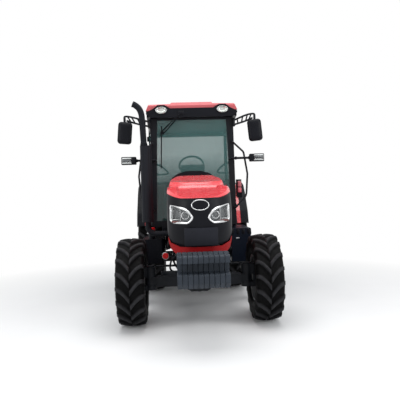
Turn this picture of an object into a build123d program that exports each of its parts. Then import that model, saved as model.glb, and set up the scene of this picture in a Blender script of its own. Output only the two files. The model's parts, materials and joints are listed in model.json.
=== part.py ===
from build123d import *
import os
from math import atan2, cos, degrees, radians, sin, sqrt, tan

# Compact four-wheel-drive farm tractor with a cab, in millimetres.
# The front of the tractor is towards -Y, its left side towards +X, +Z is up.
# The origin is on the ground, at the middle of the tractor's length and width.
# Along the length, stations are measured back from the front axle and turned
# into model coordinates by y(station).

# ---------------------------------------------------------------- layout
WHEELBASE = 2130
FRONT_OVERHANG = 1200              # front axle to the front face of the weights
REAR_OVERHANG = 800                # rear axle to the ends of the lower links
FRONT_AXLE_Y = (FRONT_OVERHANG - WHEELBASE - REAR_OVERHANG) / 2
REAR_AXLE = WHEELBASE              # station of the rear axle
SEAT_GAP = 0.3                     # clearance between curved faces that seat on each other
MOVE_GAP = 6                       # clearance round a moving panel

# ---------------------------------------------------------------- wheels
FRONT_TRACK = 1531
FRONT_TYRE_R = 500
FRONT_TYRE_W = 318
FRONT_RIM_R = 254
FRONT_RIM_W = 250
REAR_TRACK = 1260
REAR_TYRE_R = 740
REAR_TYRE_W = 380
REAR_RIM_R = 381
REAR_RIM_W = 330
FRONT_LUGS = 18                    # lugs on each side of the tread
REAR_LUGS = 21
LUG_W = 30
LUG_H = 34
TYRE_FACETS = 30                   # flat facets round the tyre under the lugs
RIM_FLANGE = 18                    # height of the rim's edge over the bead seat
RIM_EDGE = 12                      # width of the rim's edge
RIM_SHEET = 9
FRONT_DISC_OFFSET = 40             # rim disc outboard of the wheel's middle plane
REAR_DISC_OFFSET = -30
DISC_DISH = 45
HUB_R = 105
HUB_LENGTH = 90

# ---------------------------------------------------------------- front axle
KINGPIN_X = 565
KINGPIN_R = 60
KNUCKLE_R = 70
KNUCKLE_TOP = 676
KNUCKLE_BOTTOM = 400
KNUCKLE_WEB_IN = 68                # kingpin axis to the knuckle's upright web
KNUCKLE_WEB_OUT = 100
SPINDLE_R = 40
BEAM_HALF_DEPTH = 80
BEAM_END_X = 488
BEAM_TOP = 571
BEAM_END_TOP = 549
BEAM_BOTTOM = 441
AXLE_MIDDLE_TOP = 596
BULGE_HALF = 125
BULGE_BOTTOM = 372
BULGE_HALF_DEPTH = 100
PIVOT_R = 32
PIVOT_Z = 540
STEER_ARM_LENGTH = 190             # kingpin axis to the tie rod's eye, rearwards
STEER_ARM_X = 530
STEER_ARM_Z = 588
STEER_ARM_T = 26
TIE_ROD_R = 13
TIE_ROD_Z = 640
CYLINDER_R = 34
SADDLE_X = (92, 128)
SADDLE_Z = 600
SADDLE_HALF = 24
CYLINDER_HALF = 170
EYE_R = 26

# ---------------------------------------------------------------- backbone
SUPPORT_HALF = 165
SUPPORT_BOTTOM = 612
SUPPORT_ARCH = 690                 # underside over the steering cylinder
PIVOT_REAR = 140
SUPPORT_TOP = 880
SUPPORT_FRONT = -880
RADIATOR_HALF = 215
ENGINE_FRONT = 250
ENGINE_REAR = 690
ENGINE_HALF = 190
ENGINE_BOTTOM = 560
ENGINE_TOP = 1180
GEARBOX_HALF = 170
GEARBOX_BOTTOM = 520
GEARBOX_TOP = 1000
BOX_BRACKET_Z = (640, 700)
BOX_BRACKET_STATIONS = (800, REAR_AXLE - 950)
BOX_BRACKET_T = 40
CAB_MOUNT_STATIONS = (880, REAR_AXLE - 380)
DRAIN_BOSS_R = 45
REAR_HOUSING_FRONT = REAR_AXLE - 250
REAR_HOUSING_REAR = REAR_AXLE + 220
REAR_HOUSING_HALF = 200
TRUMPET_END = 425
TRUMPET_R_IN = 150
TRUMPET_R_OUT = 95
AXLE_SHAFT_R = 45
PTO_R = 17.4
PTO_LENGTH = 100
PTO_Z = 640
DRAWBAR_HALF = 32
DRAWBAR_Z = (398, 430)
DRAWBAR_FRONT = REAR_AXLE - 150
DRAWBAR_REAR = REAR_AXLE + 430
DRAWBAR_HOLE_R = 13
DRAWBAR_HOLE_INSET = 45

# ---------------------------------------------------------------- weights
WEIGHT_COUNT = 10
WEIGHT_PITCH = 49.4
WEIGHT_GAP = 2
WEIGHT_FRONT = -FRONT_OVERHANG
BAR_FRONT = -1000                  # the bar that the weights hang on
BAR_REAR = -950
BAR_Z = (780, 868)
WEIGHT_HOOK_Z = 830                # foot of the weights' hooks

# ---------------------------------------------------------------- hood
HOOD_HALF = 335
HOOD_NOSE = -880                   # station of the valance's foremost point
HOOD_NOSE_DEPTH = 280              # length of the rounded nose in plan
HOOD_NOSE_CORNER = 190             # plan radius of its corners
HOOD_PLAN_EASE = 4                 # the plan stands this far outside the hood's sides
HOOD_REAR = 695
HOOD_SHEET = 6
HOOD_BOTTOM_FRONT = 974
HOOD_LIP = -852                    # station of that edge in the middle
HOOD_LIP_Z = 1453                  # front edge of the red hood over the mask
HINGE_STATION = 630
HINGE_Z = 1700
HINGE_PIN_R = 8
HINGE_X = (100, 172)               # hinge pin from, to
HINGE_LUG_X = (118, 146)
SEAM_GAP = 0.5
LAMP_RIM = 12

# ---------------------------------------------------------------- cab
FLOOR_Z = (1071, 1110)
FLOOR_HALF = 555
FLOOR_REAR_HALF = 419
FLOOR_FRONT = 860.5                # behind the sill of the front frame
FLOOR_STEP = REAR_AXLE - 745       # station where the floor narrows for the rear tyres
CAB_REAR = REAR_AXLE + 215
SILL_TOP = 1150
SCREEN_BOTTOM_STATION = 800
SCREEN_TOP_STATION = 720
SCREEN_FOOT_Z = 1071
ROOF_TOP = 2700
ROOF_Z = (ROOF_TOP - 200, ROOF_TOP - 120)
SCREEN_HEAD_Z = ROOF_Z[0]
FRONT_FRAME_DEPTH = 60
GLASS_T = 6
GLASS_INSET = 12
A_FOOT_OUT = 564
A_HEAD_OUT = 545
A_FOOT_IN = 500
A_HEAD_IN = 455
HEADER_BOTTOM = ROOF_Z[0] - 30
SIDE_OUT = 620                     # outer face of the B and C pillars
SIDE_T = 45
B_FRONT = REAR_AXLE - 518
B_WIDTH = 78
C_WIDTH = 75
RAIL_BOTTOM = ROOF_Z[0] - 60
RAIL_FRONT = 784                   # behind the head of the A pillars
QUARTER_SILL = 1705
DOOR_T = 34
DOOR_FRAME_W = 46
DOOR_TOP = RAIL_BOTTOM - MOVE_GAP
DOOR_BOTTOM = 1078
DOOR_KNEE = 215                    # door's high rear corner, length along the door
DOOR_KNEE_Z = 1406
DOOR_SLOPE = 430                   # where the slanted edge meets the bottom edge
DOOR_HINGE_R = 12
DOOR_PIN_R = 6
DOOR_HINGE_Z = (1500, 2300)        # feet of the two hinges
HINGE_KNUCKLE = 34
HINGE_LEAF = 44
KNEE_FILLET = 60
SEAT_Z = 1330
SEAT_FRONT = REAR_AXLE - 450
ROOF_HALF = 597
PANEL_HALF = 262                   # half width of the raised middle panel
ROOF_FRONT = 640
ROOF_REAR = CAB_REAR + 75
ROOF_EDGE_Z = ROOF_TOP - 50         # where the roof's rounded ends begin
VISOR_Z = ROOF_TOP - 94             # top of the visor between its humps
HUMP_Z = VISOR_Z + 44
VISOR_FRONT = 600
WORK_LAMP_X = 395
WORK_LAMP_Z = ROOF_TOP - 120
WORK_LAMP_HALF = (73, 43)
WORK_LAMP_T = 26

# ---------------------------------------------------------------- fenders
FENDER_IN = 426
FENDER_OUT = 762
FENDER_T = 12
FLARE_OUT = 815
FLARE_LIP = 36
# outer path of the fender, station behind the rear axle and height, from its front foot over the tyre
FENDER_SHAPE = [
    (-737, 1055), (-660, 1235), (-430, 1500), (-280, 1620), (-110, 1658),
    (130, 1640), (430, 1500), (640, 1255), (720, 1060),
]
FENDER_PATH = [(REAR_AXLE + a, b) for a, b in FENDER_SHAPE]
FENDER_FILLET = 90

# ---------------------------------------------------------------- outside the cab
BOX_STATIONS = (650, REAR_AXLE - 795)
TANK = ((-690, -411), BOX_STATIONS, (606, 922))
TANK_FILLET = 40
NECK_X = -570
NECK_STATION = 705
NECK_R = 40
NECK_TOP = 1001
CAP_R = 50
CAP_TOP = 1074
BATTERY = ((468, 735), BOX_STATIONS, (594, 957))
BATTERY_TAPER = 45
LID_TOP = 1031
MUFFLER_X = -597
MUFFLER_STATION = 450
MUFFLER_R = 72
MUFFLER_Z = (1160, 2115)
PIPE_X = -620
PIPE_R = 34
PIPE_BEND_Z = 2600
PIPE_TIP = (-748, 2642)
ELBOW_R = 36
ELBOW_Z = 1008
MIRROR_SIZE = (190, 60, 295)
MIRROR_FILLET = 42
STALK_R = 11
RAIL_R = 12.5


def y(station):
    """Model coordinate of a station measured back from the front axle."""
    return FRONT_AXLE_Y + station


# ---------------------------------------------------------------- shapes
def block(x_range, stations, z_range):
    """Box between two X, two stations and two heights."""
    (x0, x1), (s0, s1), (z0, z1) = x_range, stations, z_range
    size = (x1 - x0, s1 - s0, z1 - z0)
    return Pos((x0 + x1) / 2, y((s0 + s1) / 2), (z0 + z1) / 2) * Box(*size)


def corners(points, radius=0):
    """Face inside a closed outline, its corners rounded by one radius or a list."""
    if not radius:
        return make_face(Polyline(*points, close=True))
    return make_face(FilletPolyline(*points, radius=radius, close=True))


def slab_x(face, x0, x1):
    """Sheet from an outline drawn in (station, Z), between two X."""
    placed = Pos(x0, FRONT_AXLE_Y, 0) * (Plane.YZ * face)
    return extrude(placed, x1 - x0, dir=(1, 0, 0))


def slab_y(face, s0, s1):
    """Sheet from an outline drawn in (X, Z), between two stations."""
    placed = Pos(0, y(s0), 0) * (Plane.XZ * face)
    return extrude(placed, s1 - s0, dir=(0, 1, 0))


def slab_z(face, z0, z1):
    """Sheet from an outline drawn in (X, station), between two heights."""
    return extrude(Pos(0, FRONT_AXLE_Y, z0) * face, z1 - z0, dir=(0, 0, 1))


def rod_x(radius, x0, x1, station, z):
    """Cylinder along X."""
    return Pos((x0 + x1) / 2, y(station), z) * Rot(0, 90, 0) * Cylinder(radius, abs(x1 - x0))


def rod_y(radius, x, s0, s1, z):
    """Cylinder along the tractor's length."""
    return Pos(x, y((s0 + s1) / 2), z) * Rot(90, 0, 0) * Cylinder(radius, abs(s1 - s0))


def rod_z(radius, x, station, z0, z1):
    """Upright cylinder."""
    return Pos(x, y(station), (z0 + z1) / 2) * Cylinder(radius, abs(z1 - z0))


def tube(points, radius, bends):
    """Round bar along points (X, station, Z), with a tangent arc at each corner."""
    path = FilletPolyline(*[(px, y(ps), pz) for px, ps, pz in points], radius=bends)
    start = Plane(origin=path @ 0, z_dir=path % 0)
    return sweep(start * Circle(radius), path=path)


def mirrored(shape):
    """The same piece on the tractor's other side."""
    return mirror(shape, about=Plane.YZ)


def both(shape):
    """The piece on the left side, with its mirror image on the right."""
    return Compound([*shape.solids(), *mirrored(shape).solids()])


def inset(points, distance):
    """Open path moved to its right-hand side by a distance, with mitred corners."""
    moved = []
    for i, (a, b) in enumerate(points):
        before = points[max(i - 1, 0)]
        after = points[min(i + 1, len(points) - 1)]
        if i == 0:
            before = (2 * a - after[0], 2 * b - after[1])
        if i == len(points) - 1:
            after = (2 * a - before[0], 2 * b - before[1])
        t0 = atan2(b - before[1], a - before[0])
        t1 = atan2(after[1] - b, after[0] - a)
        half = (t1 - t0) / 2
        reach = distance / cos(half)
        normal = (t0 + t1) / 2 - radians(90)
        moved.append((a + reach * cos(normal), b + reach * sin(normal)))
    return moved


def band(points, thickness, radius):
    """Face between an open path and the same path moved to its right side."""
    inner = inset(points, thickness)
    outer_edge = FilletPolyline(*points, radius=radius)
    inner_edge = FilletPolyline(*inner, radius=radius - thickness)
    ends = [Line(points[0], inner[0]), Line(points[-1], inner[-1])]
    return make_face([*outer_edge.edges(), *inner_edge.edges(), ends[0], ends[1]])


def write(name, shape):
    """Write one node, and print its solids and volume."""
    shape = Compound(shape.solids()) if len(shape.solids()) > 1 else shape.solids()[0]
    export_step(shape, f"parts/{name}.step")
    print(f"{name}: {len(shape.solids())} solids, {shape.volume / 1e6:.2f} litres")


# ---------------------------------------------------------------- wheels
def turned(profile, x):
    """Ring turned about a line along X from a profile drawn in (offset, radius)."""
    return Pos(x, 0, 0) * revolve(corners(profile), axis=Axis.X, revolution_arc=360)


def rim(rim_r, rim_w, disc_offset, shaft_r):
    """Wheel rim with its dished disc and hub, outboard towards +X."""
    half = rim_w / 2
    back = disc_offset - DISC_DISH
    profile = [
        (-half, rim_r + RIM_FLANGE), (-half + RIM_EDGE / 2, rim_r + RIM_FLANGE), (-half + RIM_EDGE, rim_r),
        (half - RIM_EDGE, rim_r), (half - RIM_EDGE / 2, rim_r + RIM_FLANGE), (half, rim_r + RIM_FLANGE),
        (half, rim_r - RIM_SHEET), (disc_offset + RIM_SHEET, rim_r - RIM_SHEET),
        (back + RIM_SHEET, HUB_R + RIM_FLANGE), (back + RIM_SHEET, HUB_R),
        (back + HUB_LENGTH, HUB_R - 2 * RIM_SHEET), (back + HUB_LENGTH, shaft_r + SEAT_GAP),
        (back, shaft_r + SEAT_GAP), (back, HUB_R + RIM_FLANGE),
        (disc_offset, rim_r - RIM_SHEET), (-half, rim_r - RIM_SHEET),
    ]
    return turned(profile, 0)


# Stations of a lug from the middle of the tread to the shoulder: share of the tyre's half-width,
# place round the tyre in pitches, depth of the face and of the root in lug heights
LUG = [(-0.09, -0.66, 0, 1.6), (0.955, 0, 0.36, 2.4)]
LUG_RAKE = 0.12                    # how far the root stays behind at the shoulder, share of the last stretch


def faceted(sections):
    """Solid with flat facets through closed sections that have the same number of points."""
    facets = []
    for here, there in zip(sections, sections[1:]):
        for k, corner in enumerate(here):
            n = (k + 1) % len(here)
            facets += [(corner, here[n], there[n]), (corner, there[n], there[k])]
    for end in (sections[0], sections[-1]):
        facets += [(end[0], end[k], end[k + 1]) for k in range(1, len(end) - 1)]
    return Solid(Shell([Face(Wire.make_polygon(facet)) for facet in facets]))


def lug(tyre_r, half, pitch, side):
    """One slanted lug of the tread, on one side of the tyre."""
    middle = (LUG[0][1] + LUG[-1][1]) / 2
    path = []
    for share, place, face_drop, root_drop in LUG:
        path.append(Vector(side * share * half, 0, tyre_r * sin((place - middle) * pitch)))
    edges = []
    for i, here in enumerate(path):
        along = path[min(i + 1, len(path) - 1)] - path[max(i - 1, 0)]
        across = Vector(-along.Z, 0, along.X).normalized() * (side * LUG_W / 2)
        edges.append([here + across, here - across])
    feet = edges[:-1] + [[a + (b - a) * LUG_RAKE for a, b in zip(edges[-1], edges[-2])]]
    sections = []
    for (share, place, face_drop, root_drop), face, foot in zip(LUG, edges, feet):
        face_r = tyre_r - face_drop * LUG_H
        top = [Vector(p.X, -sqrt(face_r ** 2 - p.Z ** 2), p.Z) for p in face]
        bottom = [Vector(p.X, root_drop * LUG_H - tyre_r, p.Z) for p in foot]
        sections.append(top + bottom[::-1])
    return Rot(-degrees(middle * pitch), 0, 0) * faceted(sections)


def tyre(tyre_r, tyre_w, rim_r, rim_w, lugs):
    """Tyre with its lugs in chevrons, seated between the rim's flanges."""
    bead = rim_w / 2 - RIM_EDGE - SEAT_GAP
    half = tyre_w / 2
    rise = tyre_r - rim_r
    # offset and radius of the carcass, from the bead to the edge of the tread
    right = [
        (bead, rim_r + RIM_FLANGE + 4), (half * 0.95, rim_r + 0.42 * rise), (half * 0.8, tyre_r - LUG_H),
    ]
    rings = []
    for offset_x, radius in right + [(-a, r) for a, r in reversed(right)]:
        turns = [radians(360 * k / TYRE_FACETS) for k in range(TYRE_FACETS)]
        rings.append([(offset_x, -radius * cos(turn), radius * sin(turn)) for turn in turns])
    form = faceted(rings)
    pitch = radians(360 / lugs)
    lug_set = []
    for side, stagger in ((1, 0), (-1, 180 / lugs)):
        first = lug(tyre_r, half, pitch, side)
        lug_set += [Rot(stagger + k * 360 / lugs, 0, 0) * first for k in range(lugs)]
    form = form.fuse(*lug_set)
    return form - Rot(0, 90, 0) * Cylinder(rim_r + SEAT_GAP, tyre_w)


def wheels():
    """Rim and tyre of each wheel: name, X of its middle plane, station, size."""
    front = (FRONT_RIM_R, FRONT_RIM_W, FRONT_DISC_OFFSET, SPINDLE_R, FRONT_TYRE_R, FRONT_TYRE_W, FRONT_LUGS)
    rear = (REAR_RIM_R, REAR_RIM_W, REAR_DISC_OFFSET, AXLE_SHAFT_R, REAR_TYRE_R, REAR_TYRE_W, REAR_LUGS)
    # place, middle plane, station, sizes
    table = [("front", FRONT_TRACK / 2, 0, front), ("rear", REAR_TRACK / 2, REAR_AXLE, rear)]
    for place, middle, station, sizes in table:
        rim_r, rim_w, disc_offset, shaft_r, tyre_r, tyre_w, lugs = sizes
        at = Pos(middle, y(station), tyre_r)
        left_rim = at * rim(rim_r, rim_w, disc_offset, shaft_r)
        left_tyre = at * tyre(tyre_r, tyre_w, rim_r, rim_w, lugs)
        write(f"rim_{place}_left", left_rim)
        write(f"tyre_{place}_left", left_tyre)
        write(f"rim_{place}_right", mirrored(left_rim))
        write(f"tyre_{place}_right", mirrored(left_tyre))


# ---------------------------------------------------------------- front axle
def front_axle():
    """Driven axle beam with its bulge, kingpin sleeves, pivot pin and steering cylinder."""
    half = [
        (190, AXLE_MIDDLE_TOP - 8), (265, BEAM_TOP), (BEAM_END_X, BEAM_END_TOP),
        (BEAM_END_X, BEAM_BOTTOM), (200, BEAM_BOTTOM - 8), (BULGE_HALF, BULGE_BOTTOM + 20),
        (BULGE_HALF - 35, BULGE_BOTTOM),
    ]
    outline = half + [(-a, b) for a, b in reversed(half)]
    beam = slab_y(corners(outline), -BEAM_HALF_DEPTH, BEAM_HALF_DEPTH)
    bulge_r = (AXLE_MIDDLE_TOP - 20 - BULGE_BOTTOM) / 2
    beam += rod_y(bulge_r, 0, -BULGE_HALF_DEPTH, BULGE_HALF_DEPTH, BULGE_BOTTOM + bulge_r)
    sleeve_z = (KNUCKLE_BOTTOM + 55, BEAM_END_TOP)
    sleeve = rod_z(KINGPIN_R, KINGPIN_X, 0, *sleeve_z)
    sleeve += block((BEAM_END_X - 20, KINGPIN_X), (-KINGPIN_R + 6, KINGPIN_R - 6), sleeve_z)
    beam += sleeve + mirrored(sleeve)
    beam += rod_y(PIVOT_R, 0, -BULGE_HALF_DEPTH - 40, BULGE_HALF_DEPTH + 40, PIVOT_Z)
    steer = STEER_ARM_LENGTH
    saddle = block(SADDLE_X, (BEAM_HALF_DEPTH - 5, steer + SADDLE_HALF), (BEAM_TOP - 30, SADDLE_Z))
    saddle += block(SADDLE_X, (steer - SADDLE_HALF, steer + SADDLE_HALF), (SADDLE_Z - 1, TIE_ROD_Z))
    saddle += mirrored(saddle)
    barrel = rod_x(CYLINDER_R, -CYLINDER_HALF, CYLINDER_HALF, steer, TIE_ROD_Z)
    beam += saddle + barrel
    beam -= rod_x(TIE_ROD_R + SEAT_GAP, -CYLINDER_HALF - 1, CYLINDER_HALF + 1, steer, TIE_ROD_Z)
    return beam


def knuckle():
    """Left steering knuckle: kingpin caps, upright web, spindle and steering arm."""
    sleeve_z = (KNUCKLE_BOTTOM + 55, BEAM_END_TOP)
    top = rod_z(KNUCKLE_R, KINGPIN_X, 0, sleeve_z[1] + SEAT_GAP, KNUCKLE_TOP - 14)
    top += rod_z(KNUCKLE_R - 18, KINGPIN_X, 0, KNUCKLE_TOP - 14, KNUCKLE_TOP)
    bottom = rod_z(KNUCKLE_R, KINGPIN_X, 0, KNUCKLE_BOTTOM, sleeve_z[0] - SEAT_GAP)
    web_x = (KINGPIN_X + KNUCKLE_WEB_IN, KINGPIN_X + KNUCKLE_WEB_OUT)
    web = block(web_x, (-62, 62), (KNUCKLE_BOTTOM, KNUCKLE_TOP - 14))
    cheek_x = (KINGPIN_X, KINGPIN_X + KNUCKLE_WEB_IN)
    cheeks = block(cheek_x, (-62, 62), (sleeve_z[1] + SEAT_GAP, KNUCKLE_TOP - 14))
    cheeks += block(cheek_x, (-62, 62), (KNUCKLE_BOTTOM, sleeve_z[0] - SEAT_GAP))
    hub_back = FRONT_TRACK / 2 + FRONT_DISC_OFFSET - DISC_DISH
    gear_case = rod_x(HUB_R - 5, web_x[1] - 1, hub_back - MOVE_GAP, 0, FRONT_TYRE_R)
    spindle = rod_x(SPINDLE_R, web_x[0], hub_back + HUB_LENGTH, 0, FRONT_TYRE_R)
    arm_z = (STEER_ARM_Z, STEER_ARM_Z + STEER_ARM_T)
    arm_outline = [
        (KINGPIN_X - 45, 0), (KINGPIN_X + 45, 0), (STEER_ARM_X + EYE_R, STEER_ARM_LENGTH),
        (STEER_ARM_X - EYE_R, STEER_ARM_LENGTH),
    ]
    arm = slab_z(corners(arm_outline), *arm_z)
    arm += rod_z(EYE_R, STEER_ARM_X, STEER_ARM_LENGTH, *arm_z)
    return top + bottom + web + cheeks + gear_case + spindle + arm


def steering_rod():
    """Sliding rod of the steering cylinder with the tie rods' eyes over the arms."""
    steer = STEER_ARM_LENGTH
    bar = rod_x(TIE_ROD_R, -STEER_ARM_X, STEER_ARM_X, steer, TIE_ROD_Z)
    eye = rod_z(EYE_R, STEER_ARM_X, steer, TIE_ROD_Z - 16, TIE_ROD_Z + 16)
    return bar + eye + mirrored(eye)


# ---------------------------------------------------------------- backbone
def front_support():
    """Casting ahead of the engine: carries the axle pivot, the radiator and the weight bar."""
    side = [
        (SUPPORT_FRONT, 690), (SUPPORT_FRONT, SUPPORT_TOP), (ENGINE_FRONT, SUPPORT_TOP),
        (ENGINE_FRONT, SUPPORT_ARCH), (PIVOT_REAR + 22, SUPPORT_ARCH), (PIVOT_REAR, SUPPORT_BOTTOM),
        (-300, SUPPORT_BOTTOM),
    ]
    casting = slab_x(corners(side), -SUPPORT_HALF, SUPPORT_HALF)
    root = SUPPORT_BOTTOM + 10
    pivot_arm = [(-70, root), (70, root), (50, PIVOT_Z - 30), (-50, PIVOT_Z - 30)]
    for s0 in (-BULGE_HALF_DEPTH - 36, BULGE_HALF_DEPTH + 8):
        casting += slab_y(corners(pivot_arm), s0, s0 + 28)
    casting -= rod_y(PIVOT_R + SEAT_GAP, 0, -BULGE_HALF_DEPTH - 41, BULGE_HALF_DEPTH + 41, PIVOT_Z)
    arms = block((-140, 140), (BAR_REAR - 1, SUPPORT_FRONT + 1), (700, WEIGHT_HOOK_Z - 8))
    bar_half = WEIGHT_COUNT * WEIGHT_PITCH / 2 + 4
    return casting + arms + block((-bar_half, bar_half), (BAR_FRONT, BAR_REAR), BAR_Z)


def radiator():
    """Cooling pack standing on the front support under the hood."""
    return block((-RADIATOR_HALF, RADIATOR_HALF), (-60, 90), (SUPPORT_TOP, 1430))


def engine():
    """The engine as one plain block."""
    return block((-ENGINE_HALF, ENGINE_HALF), (ENGINE_FRONT, ENGINE_REAR), (ENGINE_BOTTOM, ENGINE_TOP))


def gearbox():
    """Gearbox housing with cab mounts and the brackets of the side boxes."""
    side = [
        (ENGINE_REAR, 560), (ENGINE_REAR, GEARBOX_TOP), (REAR_HOUSING_FRONT, GEARBOX_TOP),
        (REAR_HOUSING_FRONT, GEARBOX_BOTTOM), (ENGINE_REAR + 250, GEARBOX_BOTTOM),
    ]
    housing = slab_x(corners(side), -GEARBOX_HALF, GEARBOX_HALF)
    for station in BOX_BRACKET_STATIONS:
        span = (station, station + BOX_BRACKET_T)
        housing += block((TANK[0][1], 0), span, BOX_BRACKET_Z)
        housing += block((0, BATTERY[0][0]), span, BOX_BRACKET_Z)
    for x in (-120, 120):
        for station in CAB_MOUNT_STATIONS:
            housing += rod_z(DRAIN_BOSS_R, x, station, GEARBOX_TOP - 1, FLOOR_Z[0])
    return housing


def rear_axle():
    """Rear axle housing with trumpets, shafts, lift housing, drawbar and power take-off."""
    side = [
        (REAR_HOUSING_FRONT, GEARBOX_BOTTOM), (REAR_HOUSING_FRONT, 1000), (REAR_HOUSING_REAR, 1000),
        (REAR_HOUSING_REAR, 560), (REAR_HOUSING_REAR - 60, 500), (REAR_HOUSING_FRONT + 80, 500),
    ]
    housing = slab_x(corners(side), -REAR_HOUSING_HALF, REAR_HOUSING_HALF)
    root = REAR_HOUSING_HALF - 1
    flange_r = TRUMPET_R_IN - 20
    shaft_end = REAR_TRACK / 2 + REAR_DISC_OFFSET - DISC_DISH + HUB_LENGTH
    trumpet = [
        (root, 0), (root, TRUMPET_R_IN), (REAR_HOUSING_HALF + 40, TRUMPET_R_IN),
        (TRUMPET_END - 30, TRUMPET_R_OUT), (TRUMPET_END - 30, flange_r), (TRUMPET_END, flange_r),
        (TRUMPET_END, AXLE_SHAFT_R), (shaft_end, AXLE_SHAFT_R), (shaft_end, 0),
    ]
    arm = Pos(0, y(REAR_AXLE), REAR_TYRE_R) * revolve(corners(trumpet), axis=Axis.X, revolution_arc=360)
    housing += arm + mirrored(arm)
    housing += rod_y(PTO_R, 0, REAR_HOUSING_REAR - 1, REAR_HOUSING_REAR + PTO_LENGTH, PTO_Z)
    for s0 in (DRAWBAR_FRONT, REAR_HOUSING_REAR - 80):
        housing += block((-50, 50), (s0, s0 + 30), (DRAWBAR_Z[1], 510))
    bar = block((-DRAWBAR_HALF, DRAWBAR_HALF), (DRAWBAR_FRONT - 20, DRAWBAR_REAR), DRAWBAR_Z)
    hole = rod_z(DRAWBAR_HOLE_R, 0, DRAWBAR_REAR - DRAWBAR_HOLE_INSET, DRAWBAR_Z[0] - 1, DRAWBAR_Z[1] + 1)
    return housing + (bar - hole) + hitch_carrier()


# ---------------------------------------------------------------- three-point hitch
LINK_PIN = (REAR_AXLE + 60, 470)       # station and height of the lower links' front pins
LINK_PIN_R = 15
LINK_PIN_X = (REAR_HOUSING_HALF - 1, 278)
LINK_FRONT_X = (251, 271)
LINK_REAR_X = (345, 365)
LINK_END = (REAR_AXLE + 765, 450)
LINK_EYE_R = 35
LINK_BALL_R = 14.35
LINK_BALL_W = 45
LINK_DEPTH = 30
ROCKSHAFT = (REAR_AXLE + 70, 930)
ROCKSHAFT_R = 28
LIFT_ARM_X = (228, 252)
LIFT_ARM_END = (REAR_AXLE + 350, 880)
LIFT_PIN_R = 12
LIFT_ROD_X = (258, 276)
LIFT_ROD_FOOT = 478
TOP_LINK_STATION = REAR_HOUSING_REAR + 45
TOP_LINK_Z = 880
TOP_LINK_EAR_X = (27, 43)
TOP_LINK_HOLE_R = 12.85


def hitch_carrier():
    """Pins and ears on the rear housing that carry the links."""
    station, z = LINK_PIN
    pin = rod_x(LINK_PIN_R, *LINK_PIN_X, station, z)
    lug = block((REAR_HOUSING_HALF - 60, REAR_HOUSING_HALF + 20), (station - 40, station + 40), (z - 35, 560))
    shaft = rod_x(ROCKSHAFT_R, REAR_HOUSING_HALF - 1, LIFT_ARM_X[1] + 8, *ROCKSHAFT)
    ear_outline = [
        (REAR_HOUSING_REAR - 1, TOP_LINK_Z - 50), (REAR_HOUSING_REAR - 1, TOP_LINK_Z + 50),
        (TOP_LINK_STATION + 30, TOP_LINK_Z + 28), (TOP_LINK_STATION + 30, TOP_LINK_Z - 28),
    ]
    ear = slab_x(corners(ear_outline), *TOP_LINK_EAR_X)
    ear -= rod_x(TOP_LINK_HOLE_R, TOP_LINK_EAR_X[0] - 1, TOP_LINK_EAR_X[1] + 1, TOP_LINK_STATION, TOP_LINK_Z)
    one_side = pin + lug + shaft
    return one_side + mirrored(one_side) + ear + mirrored(ear)


def lower_links():
    """Pair of lower links with an eye at each end."""
    plan = [
        (LINK_FRONT_X[0], LINK_PIN[0]), (LINK_FRONT_X[1], LINK_PIN[0]),
        (LINK_REAR_X[1], LINK_END[0]), (LINK_REAR_X[0], LINK_END[0]),
    ]
    side = [
        (LINK_PIN[0], LINK_PIN[1] + LINK_DEPTH), (LINK_END[0], LINK_END[1] + LINK_DEPTH),
        (LINK_END[0], LINK_END[1] - LINK_DEPTH), (LINK_PIN[0], LINK_PIN[1] - LINK_DEPTH),
    ]
    link = slab_z(corners(plan), 300, 600) & slab_x(corners(side), 0, 500)
    link += rod_x(LINK_EYE_R, *LINK_FRONT_X, *LINK_PIN)
    link -= rod_x(LINK_PIN_R + SEAT_GAP, 200, 400, *LINK_PIN)
    ball_x = (sum(LINK_REAR_X) - LINK_BALL_W) / 2, (sum(LINK_REAR_X) + LINK_BALL_W) / 2
    link += rod_x(LINK_EYE_R, *ball_x, *LINK_END)
    link -= rod_x(LINK_BALL_R, 200, 500, *LINK_END)
    return both(link)


def lift_arms():
    """Pair of lift arms on the rockshaft, each with a pin for its rod."""
    (s0, z0), (s1, z1) = ROCKSHAFT, LIFT_ARM_END
    side = [(s0, z0 + 45), (s1, z1 + 24), (s1, z1 - 24), (s0, z0 - 45)]
    arm = slab_x(corners(side), *LIFT_ARM_X)
    arm += rod_x(45, *LIFT_ARM_X, s0, z0) + rod_x(24, *LIFT_ARM_X, s1, z1)
    arm -= rod_x(ROCKSHAFT_R + SEAT_GAP, 200, 300, s0, z0)
    arm += rod_x(LIFT_PIN_R, LIFT_ARM_X[1] - 2, LIFT_ROD_X[1] + 6, s1, z1)
    return both(arm)


def lift_rods():
    """Pair of lift rods hanging from the lift arms' pins beside the lower links."""
    station, z = LIFT_ARM_END
    middle = sum(LIFT_ROD_X) / 2
    upper = rod_x(24, *LIFT_ROD_X, station, z) - rod_x(LIFT_PIN_R + SEAT_GAP, 200, 300, station, z)
    bar = rod_z(8.5, middle, station, LIFT_ROD_FOOT, z - 20)
    barrel = rod_z(8.9, middle, station, LIFT_ROD_FOOT + 90, z - 120)
    lower = rod_x(22, *LIFT_ROD_X, station, LIFT_ROD_FOOT)
    return both(upper + bar + barrel + lower)


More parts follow.
